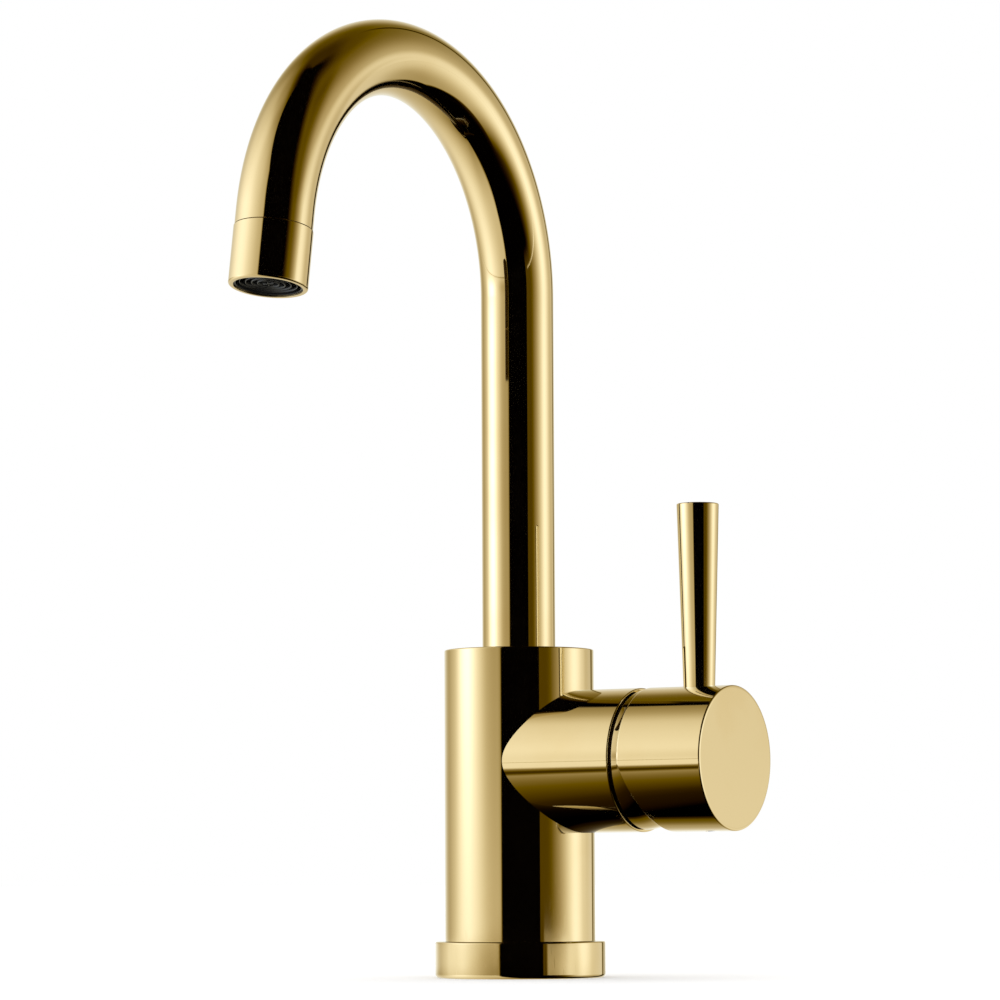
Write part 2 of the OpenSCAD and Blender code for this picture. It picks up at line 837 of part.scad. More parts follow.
// Steel stem: a ball and arm inside, the pivot, and a square bar out to the cap
module stem() {
    color(STEEL)
    difference() {
        union() {
            translate([pivot_x, 0, axis_h])
                rotate([0, -90 - tilt / 2, 0]) {
                    cylinder(r = arm_r, h = arm_len);
                    translate([0, 0, arm_len])
                        sphere(r = ball_r);
                }
            translate([pivot_x - shank_w / 2, -shank_w / 2, axis_h - shank_w / 2])
                cube([shank_w / 2 + shank_end, shank_w, shank_w]);
        }
        translate([pivot_x, 0, axis_h])
            rotate([90, 0, 0])
                cylinder(r = pin_r + run_gap, h = 2 * shank_w, center = true);
    }
}

module stem_pin() {
    color(STEEL)
        translate([pivot_x, 0, axis_h])
            rotate([90, 0, 0])
                cylinder(r = pin_r, h = 2 * pin_half, center = true);
}

// Domed ring screwed into the branch's mouth, on which the cap seems to roll
module dome_ring() {
    skirt_x = stop_x + run_gap;
    color(GOLD)
    difference() {
        union() {
            on_lever(skirt_x)
                cylinder(r = nut_out_r, h = dome_x - skirt_x + over);
            intersection() {
                on_lever(pivot_x)
                    sphere(r = dome_r);
                on_lever(dome_x)
                    cylinder(r = lever_r, h = lever_r);
            }
        }
        on_lever(skirt_x - over)
            cylinder(r = dome_bore_r, h = dome_x - skirt_x + over);
        intersection() {
            on_lever(branch_x)
                cylinder(r = dome_bore_r, h = cap_face_x);
            on_lever(pivot_x)
                sphere(r = dome_r - dome_wall);
        }
        on_lever(pivot_x)
            cylinder(r = dome_hole_r, h = lever_d);
    }
}

// Lever cap: a round block, hollowed round the dome and cut slanting below for the tilt
module lever_cap() {
    color(GOLD)
    difference() {
        on_lever(cap_x)
            rounded_bar(lever_r, cap_len, lever_edge_r);
        on_lever(pivot_x)
            sphere(r = hollow_r);
        translate([cap_x, 0, axis_h - cut_drop])
            rotate([0, -cut_angle, 0])
                translate([-lever_d, -lever_d / 2 - over, -lever_d])
                    cube([lever_d, lever_d + 2 * over, lever_d]);
        on_lever(pivot_x)
            translate([-shank_hole_w / 2, -shank_hole_w / 2, 0])
                cube([shank_hole_w, shank_hole_w, shank_end + play]);
        translate([rod_x, 0, axis_h + rod_seat]) {
            cylinder(r = rod_r + fix_gap, h = lever_r);
            translate([0, 0, -rod_stud_len - play])
                cylinder(r = rod_stud_r + fix_gap, h = lever_r);
        }
        translate([grub_x, 0, axis_h - lever_d])
            cylinder(r = grub_r + fix_gap, h = lever_d);
    }
}

// Tapered rod on the cap, with its threaded end in the cap
module lever_rod() {
    top_r = rod_top_d / 2;
    color(GOLD)
    translate([rod_x, 0, axis_h + rod_seat]) {
        translate([0, 0, -rod_stud_len])
            cylinder(r = rod_stud_r, h = rod_stud_len);
        rotate_extrude()
            polygon(concat(
                [[0, 0], [rod_r, 0]],
                arc_points(top_r - lever_edge_r, rod_len - lever_edge_r, lever_edge_r, 0, 90),
                [[0, rod_len]]));
    }
}

// Screw that holds the cap on the stem, reached from below
module lever_grub_screw() {
    color(STEEL)
        translate([grub_x, 0, axis_h - shank_w / 2])
            rotate([180, 0, 0])
                grub(grub_r, grub_len, grub_point_r, grub_point_len);
}

body();
base_flange();
base_gasket();
spout_tube();
spout_foot();
spout_oring_lower();
spout_oring_upper();
spout_glide_lower();
spout_glide_upper();
spout_washer();
spout_lock_screw();
outlet_nipple();
aerator_sleeve();
aerator_seal();
aerator_strainer();
flow_regulator();
aerator_face();
cartridge_base();
base_seals();
disc_seals();
fixed_disc();
moving_disc();
disc_slider();
turn_carrier();
cartridge_housing();
cartridge_nut();
temperature_stop();
stem();
stem_pin();
dome_ring();
lever_cap();
lever_rod();
lever_grub_screw();
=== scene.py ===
import math
from functools import partial

import bmesh
import bpy
import numpy as np
from mathutils import Matrix, Vector


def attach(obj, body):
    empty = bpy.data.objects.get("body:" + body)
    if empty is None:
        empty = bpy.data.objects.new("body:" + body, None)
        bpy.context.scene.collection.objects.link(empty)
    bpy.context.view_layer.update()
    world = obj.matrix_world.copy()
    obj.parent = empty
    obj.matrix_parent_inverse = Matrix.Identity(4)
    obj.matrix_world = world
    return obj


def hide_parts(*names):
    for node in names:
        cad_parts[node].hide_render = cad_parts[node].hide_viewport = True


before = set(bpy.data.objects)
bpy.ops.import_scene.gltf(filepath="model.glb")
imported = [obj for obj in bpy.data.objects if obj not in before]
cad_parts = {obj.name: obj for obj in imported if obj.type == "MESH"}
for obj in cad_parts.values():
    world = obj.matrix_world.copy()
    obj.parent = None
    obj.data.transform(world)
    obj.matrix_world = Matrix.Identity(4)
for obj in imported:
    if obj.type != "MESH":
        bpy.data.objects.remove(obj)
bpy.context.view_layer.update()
mm = 0.001  # every size below is in millimetres
over = 1  # how far a cutter reaches past what it cuts
polishName = "polish"  # corner attribute that carries the true normals through the cuts


# Camera: found from the outlines in the photograph, for an image of 1000 x 1000
cameraFit = {
    "azimuth": 32.5184, "distance": 1242.1653, "height": 29.8158,
    "yaw": 0.2533, "pitch": 5.2364, "roll": -0.2724, "lens": 148.32, "sensor": 36,
}


def placeCamera(fit):
    az = math.radians(fit["azimuth"])
    look = math.radians(fit["azimuth"] + fit["yaw"])
    pitch, roll = math.radians(fit["pitch"]), math.radians(fit["roll"])
    place = Vector((math.sin(az), -math.cos(az), 0)) * fit["distance"] * mm
    place.z = fit["height"] * mm
    level = Vector((-math.sin(look), math.cos(look), 0))
    across = Vector((math.cos(look), math.sin(look), 0))
    up = Vector((0, 0, 1))
    view = level * math.cos(pitch) + up * math.sin(pitch)
    tipped = up * math.cos(pitch) - level * math.sin(pitch)
    right = across * math.cos(roll) + tipped * math.sin(roll)
    top = tipped * math.cos(roll) - across * math.sin(roll)
    data = bpy.data.cameras.new("photoCamera")
    data.lens = fit["lens"]
    data.sensor_width = fit["sensor"]
    data.clip_start = 0.01
    data.clip_end = 100
    camera = bpy.data.objects.new("photoCamera", data)
    turn = Matrix((right, top, -view)).transposed().to_4x4()
    camera.matrix_world = Matrix.Translation(place) @ turn
    bpy.context.scene.collection.objects.link(camera)
    bpy.context.scene.camera = camera


placeCamera(cameraFit)
bpy.context.scene.view_settings.view_transform = "Standard"
print("camera placed")


# Frames that the tap's round parts are turned in, each with its axis along local Z
upright = Matrix.Identity(4)
leverHeight = 64.2
leverAxis = Matrix(((0, 0, 1, 0), (0, 1, 0, 0), (-1, 0, 0, leverHeight), (0, 0, 0, 1)))
pivotX = 42.46  # the pin that the lever tilts about, and the centre of the dome
pivotArc = {"about": (0, pivotX), "steps": 40}
swanNeck = {"foot": 94.7, "archHeight": 205.2, "archRadius": 63, "archAngle": 171, "nose": 4.9}


def outletAxis(neck):
    angle = math.radians(neck["archAngle"])
    end = Vector((0, neck["archRadius"] * (math.cos(angle) - 1),
                  neck["archHeight"] + neck["archRadius"] * math.sin(angle)))
    return Matrix.Translation(end) @ Matrix.Rotation(angle, 4, "X")


def addObject(name, mesh):
    made = bpy.data.objects.new(name, mesh)
    bpy.context.scene.collection.objects.link(made)
    return made


def addShape(name, bm):
    mesh = bpy.data.meshes.new(name)
    bm.to_mesh(mesh)
    bm.free()
    return addObject(name, mesh)


# An outline is a list of corners (radius, height, rounding). A dictionary between two corners
# says that they are joined by an arc about that point on the outline's plane.
def outlineSteps(outline, closed, roundSteps):
    corners, arcs = [], {}
    for item in outline:
        if isinstance(item, dict):
            arcs[len(corners) - 1] = item
        else:
            corners.append(item)
    count = len(corners)
    spans = []
    for k in range(count if closed else count - 1):
        a = np.array(corners[k][:2], float)
        b = np.array(corners[(k + 1) % count][:2], float)
        if k in arcs:
            c = np.array(arcs[k]["about"], float)
            a0 = math.atan2(*(a - c)[::-1])
            a1 = math.atan2(*(b - c)[::-1])
            a1 += 2 * math.pi * round((a0 - a1) / (2 * math.pi))
            spans.append({"c": c, "r": np.linalg.norm(a - c), "from": a0, "to": a1,
                          "sign": 1 if a1 > a0 else -1, "steps": arcs[k]["steps"]})
        else:
            spans.append({"a": a, "b": b})

    def direction(span, atEnd):
        if "c" not in span:
            return (span["b"] - span["a"]) / np.linalg.norm(span["b"] - span["a"])
        angle = span["to"] if atEnd else span["from"]
        return np.array((-math.sin(angle), math.cos(angle))) * span["sign"]

    def trim(span, length, atEnd):
        if "c" in span and atEnd:
            span["to"] -= span["sign"] * length / span["r"]
        elif "c" in span:
            span["from"] += span["sign"] * length / span["r"]
        elif atEnd:
            span["b"] = span["b"] - direction(span, True) * length
        else:
            span["a"] = span["a"] + direction(span, False) * length

    fillets = {}
    for k, corner in enumerate(corners):
        if len(corner) < 3 or not (closed or 0 < k < count - 1):
            continue
        before, after = spans[k - 1], spans[k % len(spans)]
        d0, d1 = direction(before, True), direction(after, False)
        turn = math.atan2(d0[0] * d1[1] - d0[1] * d1[0], float(d0 @ d1))
        length = corner[2] * math.tan(abs(turn) / 2)
        side = np.array((-d0[1], d0[0])) * (1 if turn > 0 else -1)
        start = np.array(corner[:2], float) - d0 * length
        fillets[k] = (start + side * corner[2], math.atan2(*(-side)[::-1]), turn, corner[2])
        trim(before, length, True)
        trim(after, length, False)

    def arcRun(c, r, sign, start, turn, steps):
        spokes = [(math.cos(start + turn * i / steps), math.sin(start + turn * i / steps))
                  for i in range(steps + 1)]
        return [(c[0] + r * x, c[1] + r * y, sign * x, sign * y) for x, y in spokes]

    runs = []  # each run is a list of (radius, height, normal's radius, normal's height)
    for k, span in enumerate(spans):
        if k in fillets:
            c, a0, turn, r = fillets[k]
            runs.append(arcRun(c, r, 1 if turn > 0 else -1, a0, turn, roundSteps))
        if "c" in span:
            turn = span["to"] - span["from"]
            start, steps = span["from"], span["steps"]
            runs.append(arcRun(span["c"], span["r"], span["sign"], start, turn, steps))
        else:
            d = direction(span, True)
            runs.append([(*span["a"], d[1], -d[0]), (*span["b"], d[1], -d[0])])
    return runs


# Keeps the true normal of every face corner, for polish() to use when the piece is finished
def keepNormals(mesh, normals):
    store = mesh.attributes.new(polishName, "FLOAT_VECTOR", "CORNER")
    store.data.foreach_set("vector", np.array(normals, np.float32).ravel())


# Builds a mesh from columns of runs
def meshFromColumns(name, columns, axis):
    spin = axis.to_3x3()
    places, faces, normals = [], [], []
    known = {}

    def vertex(radius, height, angle):
        local = Vector((radius * math.cos(angle), radius * math.sin(angle), height))
        key = tuple(round(v, 5) for v in local)
        if key not in known:
            known[key] = len(places)
            places.append((axis @ local) * mm)
        return known[key]

    def facing(step, angle):
        if len(step) > 4:
            return spin @ Vector(step[4])
        return spin @ Vector((step[2] * math.cos(angle), step[2] * math.sin(angle), step[3]))

    for (angle, runs), (nextAngle, nextRuns) in zip(columns, columns[1:] + columns[:1]):
        for run, nextRun in zip(runs, nextRuns):
            for low, high, nextLow, nextHigh in zip(run, run[1:], nextRun, nextRun[1:]):
                ring = [(low, angle), (nextLow, nextAngle), (nextHigh, nextAngle), (high, angle)]
                ids = [vertex(step[0], step[1], turn) for step, turn in ring]
                kept = [i for i in range(4) if ids[i] != ids[i - 1]]
                if len(kept) > 2:
                    faces.append([ids[i] for i in kept])
                    normals += [facing(*ring[i]) for i in kept]
    mesh = bpy.data.meshes.new(name)
    mesh.from_pydata(places, [], faces)
    keepNormals(mesh, normals)
    return addObject(name, mesh)


def turned(name, outline, axis=upright, around=256, closed=False, roundSteps=6):
    runs = outlineSteps(outline, closed, roundSteps)
    columns = [(2 * math.pi * k / around, runs) for k in range(around)]
    return meshFromColumns(name, columns, axis)


def drill(name, radius, start, end, axis, around=64):
    return turned(name, [(0, start), (radius, start), (radius, end), (0, end)], axis, around)


def block(name, low, high, axis):
    low, high = Vector(low), Vector(high)
    bm = bmesh.new()
    bmesh.ops.create_cube(bm, size=1)
    for v in bm.verts:
        v.co = Vector(low[i] + (v.co[i] + 0.5) * (high[i] - low[i]) for i in range(3))
    bmesh.ops.transform(bm, matrix=Matrix.Scale(mm, 4) @ axis, verts=bm.verts)
    made = addShape(name, bm)
    sides = made.data.polygons
    keepNormals(made.data, [list(side.normal) for side in sides for _ in side.loop_indices])
    return made


# Takes an object's evaluated mesh, so that no modifier is left on it
def bake(made):
    graph = bpy.context.evaluated_depsgraph_get()
    mesh = bpy.data.meshes.new_from_object(made.evaluated_get(graph), depsgraph=graph)
    old = made.data
    made.modifiers.clear()
    made.data = mesh
    bpy.data.meshes.remove(old)


def combine(made, others, operation):
    for other in others:
        cut = made.modifiers.new(operation.lower(), "BOOLEAN")
        cut.operation = operation
        cut.solver = "EXACT"
        cut.object = other
        bake(made)
        spent = other.data
        bpy.data.objects.remove(other)
        bpy.data.meshes.remove(spent)
    return made


# Gives a finished mesh its stored normals, so that reflections run smoothly over the facets
def polish(made):
    least = 0.5  # a stored normal that meets its face's at a lower cosine gives way to it
    mesh = made.data
    store = mesh.attributes[polishName]
    normals = np.zeros(len(mesh.loops) * 3, np.float32)
    store.data.foreach_get("vector", normals)
    normals = normals.reshape(-1, 3)
    facing = np.zeros(len(mesh.polygons) * 3, np.float32)
    mesh.polygons.foreach_get("normal", facing)
    sides = np.zeros(len(mesh.polygons), np.int32)
    mesh.polygons.foreach_get("loop_total", sides)
    facing = np.repeat(facing.reshape(-1, 3), sides, axis=0)
    lengths = np.linalg.norm(normals, axis=1, keepdims=True)
    normals = np.where(lengths > 1e-6, normals / np.maximum(lengths, 1e-6), facing)
    along = (normals * facing).sum(1, keepdims=True)
    normals = np.where(along < 0, -normals, normals)
    normals = np.where(abs(along) < least, facing, normals)
    mesh.attributes.remove(store)
    mesh.polygons.foreach_set("use_smooth", [True] * len(mesh.polygons))
    mesh.normals_split_custom_set(normals.tolist())
    mesh.update()
    return made


# Node helpers
def socket(tree, target, value):
    if isinstance(value, bpy.types.NodeSocket):
        tree.links.new(value, target)
    elif value is not None:
        target.default_value = value


def mathNode(tree, operation, a, b=None, c=None, clamp=False):
    node = tree.nodes.new("ShaderNodeMath")
    node.operation = operation
    node.use_clamp = clamp
    for target, value in zip(node.inputs, (a, b, c)):
        socket(tree, target, value)
    return node.outputs[0]


def noise(tree, place, size, detail):
    node = tree.nodes.new("ShaderNodeTexNoise")
    tree.links.new(place, node.inputs["Vector"])
    socket(tree, node.inputs["Scale"], mathNode(tree, "DIVIDE", 1 / mm, size))
    node.inputs["Detail"].default_value = detail
    return node.outputs[0]


def between(tree, value, low, high, form="SMOOTHSTEP"):  # 0 at low and 1 at high
    ramp = tree.nodes.new("ShaderNodeMapRange")
    ramp.interpolation_type = form
    for target, item in zip(ramp.inputs, (value, low, high)):
        socket(tree, target, item)
    return ramp.outputs[0]


# Effects that the finishes share. Each group puts out masks and heights only, and a mask rises
# between two levels of its noise. On polished metal: a wiped film, hairlines rubbed in by a cloth,
# and a faint ripple.
polishMarks = {
    "sizes": {"Film size": 30, "Hairline size": 9, "Ripple size": 7},
    "film": (0.46, 0.72), "hairlines": (0.7, 0.78),
    "rubs": (((0.5, 0.2, 0.9), (1, 34, 1)), ((-0.4, 0.7, -0.5), (38, 1, 1))),
}
# Fine tool lines round the part's own axis, with worn patches between them
toolLines = {
    "sizes": {"Line size": 0.22, "Patch size": 8}, "patches": (0.4, 0.7), "waver": 1.5,
    "band": 0.31,
}
# Moulded skin: fine grain, slow mottle and a few dust specks
mouldedSkin = {
    "sizes": {"Grain size": 0.35, "Mottle size": 9, "Speck size": 1.6},
    "mottle": (0.35, 0.7), "specks": (0.8, 0.86),
}


def addPolish(tree, place, given, s):
    lines = None
    for turn, stretch in s["rubs"]:
        spin = tree.nodes.new("ShaderNodeMapping")
        tree.links.new(place, spin.inputs["Vector"])
        spin.inputs["Rotation"].default_value = turn
        spin.inputs["Scale"].default_value = stretch
        rubbed = noise(tree, spin.outputs[0], given["Hairline size"], 1)
        line = between(tree, rubbed, *s["hairlines"])
        lines = line if lines is None else mathNode(tree, "MAXIMUM", lines, line)
    film = between(tree, noise(tree, place, given["Film size"], 3), *s["film"])
    ripple = noise(tree, place, given["Ripple size"], 1)
    return {"Film": film, "Hairlines": lines, "Ripple": ripple}


def addTurning(tree, place, given, s):
    wave = tree.nodes.new("ShaderNodeTexWave")
    wave.wave_type = "BANDS"
    wave.bands_direction = "Z"
    tree.links.new(place, wave.inputs["Vector"])
    scale = mathNode(tree, "DIVIDE", s["band"] / mm, given["Line size"])
    tree.links.new(scale, wave.inputs["Scale"])
    wave.inputs["Distortion"].default_value = s["waver"]
    wave.inputs["Detail"].default_value = 2
    patches = between(tree, noise(tree, place, given["Patch size"], 4), *s["patches"])
    return {"Lines": wave.outputs["Fac"], "Patches": patches}


def addGrain(tree, place, given, s):
    mottle = between(tree, noise(tree, place, given["Mottle size"], 3), *s["mottle"])
    specks = between(tree, noise(tree, place, given["Speck size"], 0), *s["specks"])
    return {"Grain": noise(tree, place, given["Grain size"], 2), "Mottle": mottle, "Specks": specks}


def effectGroup(name, fill, s):
    tree = bpy.data.node_groups.new(name, "ShaderNodeTree")
    new = partial(tree.interface.new_socket, socket_type="NodeSocketFloat")
    for item, value in s["sizes"].items():
        new(item, in_out="INPUT").default_value = value
    place = tree.nodes.new("ShaderNodeTexCoord").outputs["Object"]
    made = fill(tree, place, tree.nodes.new("NodeGroupInput").outputs, s)
    for item in made:
        new(item, in_out="OUTPUT")
    result = tree.nodes.new("NodeGroupOutput").inputs
    for item, value in made.items():
        tree.links.new(value, result[item])
    return tree


effects = {
    "polish": effectGroup("polishMarks", addPolish, polishMarks),
    "turning": effectGroup("toolLines", addTurning, toolLines),
    "grain": effectGroup("mouldedSkin", addGrain, mouldedSkin),
}


# A finish: two colours mixed by one mask, a roughness that rises with masks, a height for the bump,
# and the sizes of its effect where they differ
machined = {"effect": "turning", "metal": 1, "colourMask": "Patches", "height": "Lines"}
moulded = {
    "effect": "grain", "metal": 0, "colourMask": "Mottle", "height": "Grain",
    "roughMasks": {"Mottle": 0.08, "Specks": 0.2},
}
finishSettings = {
    "polished_gold": {
        "effect": "polish", "metal": 1, "colourMask": "Film", "height": "Ripple",
        "colours": ((0.765, 0.585, 0.305), (0.745, 0.555, 0.275)), "rough": 0.035,
        "roughMasks": {"Film": 0.022, "Hairlines": 0.05}, "bump": 0.0025,
        # for glossy rays: a painted reflection colour, and painted shade past the far distances
        "mirrored": (0.92, 0.86, 0.66), "shaded": (0.05, 0.03, 0.006), "far": (95, 110)},
    "raw_brass": {
        **machined, "colours": ((0.62, 0.43, 0.17), (0.45, 0.28, 0.11)), "rough": 0.24,
        "roughMasks": {"Patches": 0.14, "Lines": 0.06}, "bump": 0.006},
    "steel": {
        **machined, "colours": ((0.6, 0.61, 0.62), (0.47, 0.47, 0.48)), "rough": 0.2,
        "roughMasks": {"Patches": 0.1, "Lines": 0.05}, "bump": 0.004, "sizes": {"Line size": 0.16}},
    "rubber": {
        **moulded, "colours": ((0.018, 0.018, 0.018), (0.034, 0.033, 0.032)), "rough": 0.66,
        "roughMasks": {"Grain": 0.12, "Specks": 0.2}, "bump": 0.02, "sizes": {"Grain size": 0.25}},
    "black_plastic": {
        **moulded, "colours": ((0.006, 0.006, 0.006), (0.012, 0.012, 0.011)), "rough": 0.3,
        "bump": 0.004},
    "white_plastic": {
        **moulded, "colours": ((0.8, 0.79, 0.75), (0.72, 0.71, 0.67)), "rough": 0.36,
        "bump": 0.008},
    "grey_plastic": {
        **moulded, "colours": ((0.15, 0.16, 0.18), (0.12, 0.13, 0.14)), "rough": 0.38,
        "bump": 0.008},
    "ceramic": {
        **moulded, "colours": ((0.86, 0.85, 0.81), (0.8, 0.78, 0.73)), "colourMask": "Specks",
        "rough": 0.1, "roughMasks": {"Mottle": 0.06}, "bump": 0.001, "sizes": {"Speck size": 0.7}},
}
# Gold seen in other gold is painted a paler reflection colour, and turns to painted shade between
# two far distances. The neck's front and the body's foot get that painted shade from near too:
# their finishes say along which object axis that comes in, and between which two places.
for name, paintedShadeZone in (("neck_gold_painted_shade", (1, -3, -5)), ("body_gold", (2, 66, 62))):
    finishSettings[name] = {**finishSettings["polished_gold"], "paintedShadeZone": paintedShadeZone}
# Near-black gold: painted shade for the dome's skirt, which lines the groove
finishSettings["painted_shade_gold"] = {
    **finishSettings["polished_gold"], "rough": 0.4,
    "colours": ((0.03, 0.018, 0.005), (0.024, 0.014, 0.004)), "mirrored": (0.03, 0.018, 0.005)}


def blend(tree, mask, first, second):
    mix = tree.nodes.new("ShaderNodeMix")
    mix.data_type = "RGBA"
    socket(tree, mix.inputs["Factor"], mask)
    for target, tone in ((mix.inputs[6], first), (mix.inputs[7], second)):
        socket(tree, target, (*tone, 1) if isinstance(tone, tuple) else tone)
    return mix.outputs[2]


def makeFinish(name, s):
    material = bpy.data.materials.new(name)
    material.use_nodes = True
    tree = material.node_tree
    new, link = tree.nodes.new, tree.links.new
    shader = tree.nodes["Principled BSDF"]
    marks = new("ShaderNodeGroup")
    marks.node_tree = effects[s["effect"]]
    for item, value in s.get("sizes", {}).items():
        marks.inputs[item].default_value = value
    colour = blend(tree, marks.outputs[s["colourMask"]], *s["colours"])
    # For glossy rays the base colour is painted: a paler reflection colour, darkened to painted
    # shade with ray length and, where a zone is given, by place
    if "mirrored" in s:
        path = new("ShaderNodeLightPath").outputs
        dark = between(tree, path["Ray Length"], s["far"][0] * mm, s["far"][1] * mm)
        if "paintedShadeZone" in s:
            axis, start, end = s["paintedShadeZone"]
            split = new("ShaderNodeSeparateXYZ")
            link(new("ShaderNodeTexCoord").outputs["Object"], split.inputs[0])
            placed = between(tree, split.outputs[axis], start * mm, end * mm)
            dark = mathNode(tree, "MAXIMUM", dark, placed)
        mirrored = blend(tree, dark, s["mirrored"], s["shaded"])
        colour = blend(tree, path["Is Glossy Ray"], colour, mirrored)
    link(colour, shader.inputs["Base Color"])
    rough = s["rough"]
    for item, amount in s["roughMasks"].items():
        rough = mathNode(tree, "MULTIPLY_ADD", marks.outputs[item], amount, rough)
    link(rough, shader.inputs["Roughness"])
    bump = new("ShaderNodeBump")
    bump.inputs["Strength"].default_value = 1
    bump.inputs["Distance"].default_value = s["bump"] * mm
    link(marks.outputs[s["height"]], bump.inputs["Height"])
    link(bump.outputs[0], shader.inputs["Normal"])
    shader.inputs["Metallic"].default_value = s["metal"]
    return material


finishes = {slot: makeFinish(slot, settings) for slot, settings in finishSettings.items()}
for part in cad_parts.values():
    for place in part.material_slots:
        place.material = finishes[place.material.name.split(".")[0]]
print("finishes made")


# Body with its side branch, one casting
bodySizes = {
    "radius": 22.5, "top": 98.1, "spigot": 20, "flangeTop": 10.8, "edge": 0.4, "foldEdge": 0.12,
    "socket": 11.08, "socketFloor": 76.25,
    "branchRadius": 21.25, "branchStart": 0.5, "branchEnd": 43.66,
    "chamber": 17.6, "chamberFloor": 14.48, "nutRadius": 19, "nutFloor": 34.94,
    "hose": 4.5, "hoseDepth": 12, "hoseX": 5, "hoseY": 9, "waterway": 3.4, "waterwayDepth": 60,
    "stud": 3.4, "studDepth": 18, "studX": 13,
    "lockHole": 2.55, "lockHeight": 90.1,
}


def makeBody(s):
    body = turned("tap_body", [
        (0, 0), (s["spigot"], 0), (s["spigot"], s["flangeTop"]),
        (s["radius"], s["flangeTop"], s["foldEdge"]), (s["radius"], s["top"], s["edge"]),
        (s["socket"], s["top"], s["foldEdge"]), (s["socket"], s["socketFloor"]),
        (0, s["socketFloor"])])
    branch = turned("branch", [
        (0, s["branchStart"]), (s["branchRadius"], s["branchStart"]),
        (s["branchRadius"], s["branchEnd"], s["edge"]), (0, s["branchEnd"])], leverAxis)
    combine(body, [branch], "UNION")
    holes = [turned("chamber", [
        (0, s["chamberFloor"]), (s["chamber"], s["chamberFloor"]), (s["chamber"], s["nutFloor"]),
        (s["nutRadius"], s["nutFloor"]), (s["nutRadius"], s["branchEnd"] + over),
        (0, s["branchEnd"] + over)], leverAxis, around=128)]
    for side in (-1, 1):
        place = Matrix.Translation((s["hoseX"], side * s["hoseY"], 0))
        holes.append(turned("inlet", [
            (0, -over), (s["hose"], -over), (s["hose"], s["hoseDepth"]),
            (s["waterway"], s["hoseDepth"]), (s["waterway"], s["waterwayDepth"]),
            (0, s["waterwayDepth"])], place, around=64))
    place = Matrix.Translation((-s["studX"], 0, 0))
    holes.append(drill("studHole", s["stud"], -over, s["studDepth"], place, 48))
    back = Matrix.Translation((0, 0, s["lockHeight"])) @ Matrix.Rotation(math.radians(-90), 4, "X")
    ends = s["socket"] - 2 * over, s["radius"] + over
    holes.append(drill("lockHole", s["lockHole"], *ends, back))
    return polish(combine(body, holes, "DIFFERENCE"))


# Loose flange round the body's foot, with the rubber ring in its underside
flangeSizes = {
    "radius": 25.5, "bore": 20.05, "height": 10.8, "topEdge": 0.5, "footEdge": 1.2,
    "grooveIn": 21.525, "grooveOut": 24.025, "grooveTop": 1.5,
}
gasketSizes = {"inner": 21.575, "outer": 23.975, "height": 1.5, "edge": 0.25}


def makeFlange(s):
    return polish(turned("base_ring", [
        (s["bore"], 0), (s["grooveIn"], 0), (s["grooveIn"], s["grooveTop"]),
        (s["grooveOut"], s["grooveTop"]), (s["grooveOut"], 0), (s["radius"], 0, s["footEdge"]),
        (s["radius"], s["height"], s["topEdge"]), (s["bore"], s["height"])], closed=True))


def makeGasket(s):
    return polish(turned("deck_gasket", [
        (s["inner"], 0, s["edge"]), (s["outer"], 0, s["edge"]),
        (s["outer"], s["height"], s["edge"]), (s["inner"], s["height"], s["edge"])],
        closed=True, around=192))


# A Geometry Nodes tree is given sizes, counts and a material, and ends with that material set
def startTree(name, sizes, counts):
    tree = bpy.data.node_groups.new(name, "GeometryNodeTree")
    face = tree.interface
    face.new_socket("Geometry", in_out="INPUT", socket_type="NodeSocketGeometry")
    for kind, values in (("NodeSocketFloat", sizes), ("NodeSocketInt", counts)):
        for item, value in values.items():
            face.new_socket(item, in_out="INPUT", socket_type=kind).default_value = value
    face.new_socket("Material", in_out="INPUT", socket_type="NodeSocketMaterial")
    face.new_socket("Geometry", in_out="OUTPUT", socket_type="NodeSocketGeometry")
    return tree, tree.nodes.new("NodeGroupInput").outputs


def endTree(tree, shape, material):
    new, link = tree.nodes.new, tree.links.new
    real = new("GeometryNodeRealizeInstances")
    link(shape, real.inputs[0])
    paint = new("GeometryNodeSetMaterial")
    link(real.outputs[0], paint.inputs["Geometry"])
    link(material, paint.inputs["Material"])
    link(paint.outputs[0], new("NodeGroupOutput").inputs[0])
    return tree


def grown(name, tree, material):
    made = addObject(name, bpy.data.meshes.new(name))
    grow = made.modifiers.new(tree.name, "NODES")
    grow.node_group = tree
    for item in tree.interface.items_tree:
        if item.name == "Material":
            grow[item.identifier] = material
    bake(made)
    return made


# Swan neck: Geometry Nodes sweep a circle along riser, arch and nose
tubeSizes = {"radius": 11, "wall": 1.5, "step": 1.5, "around": 144}


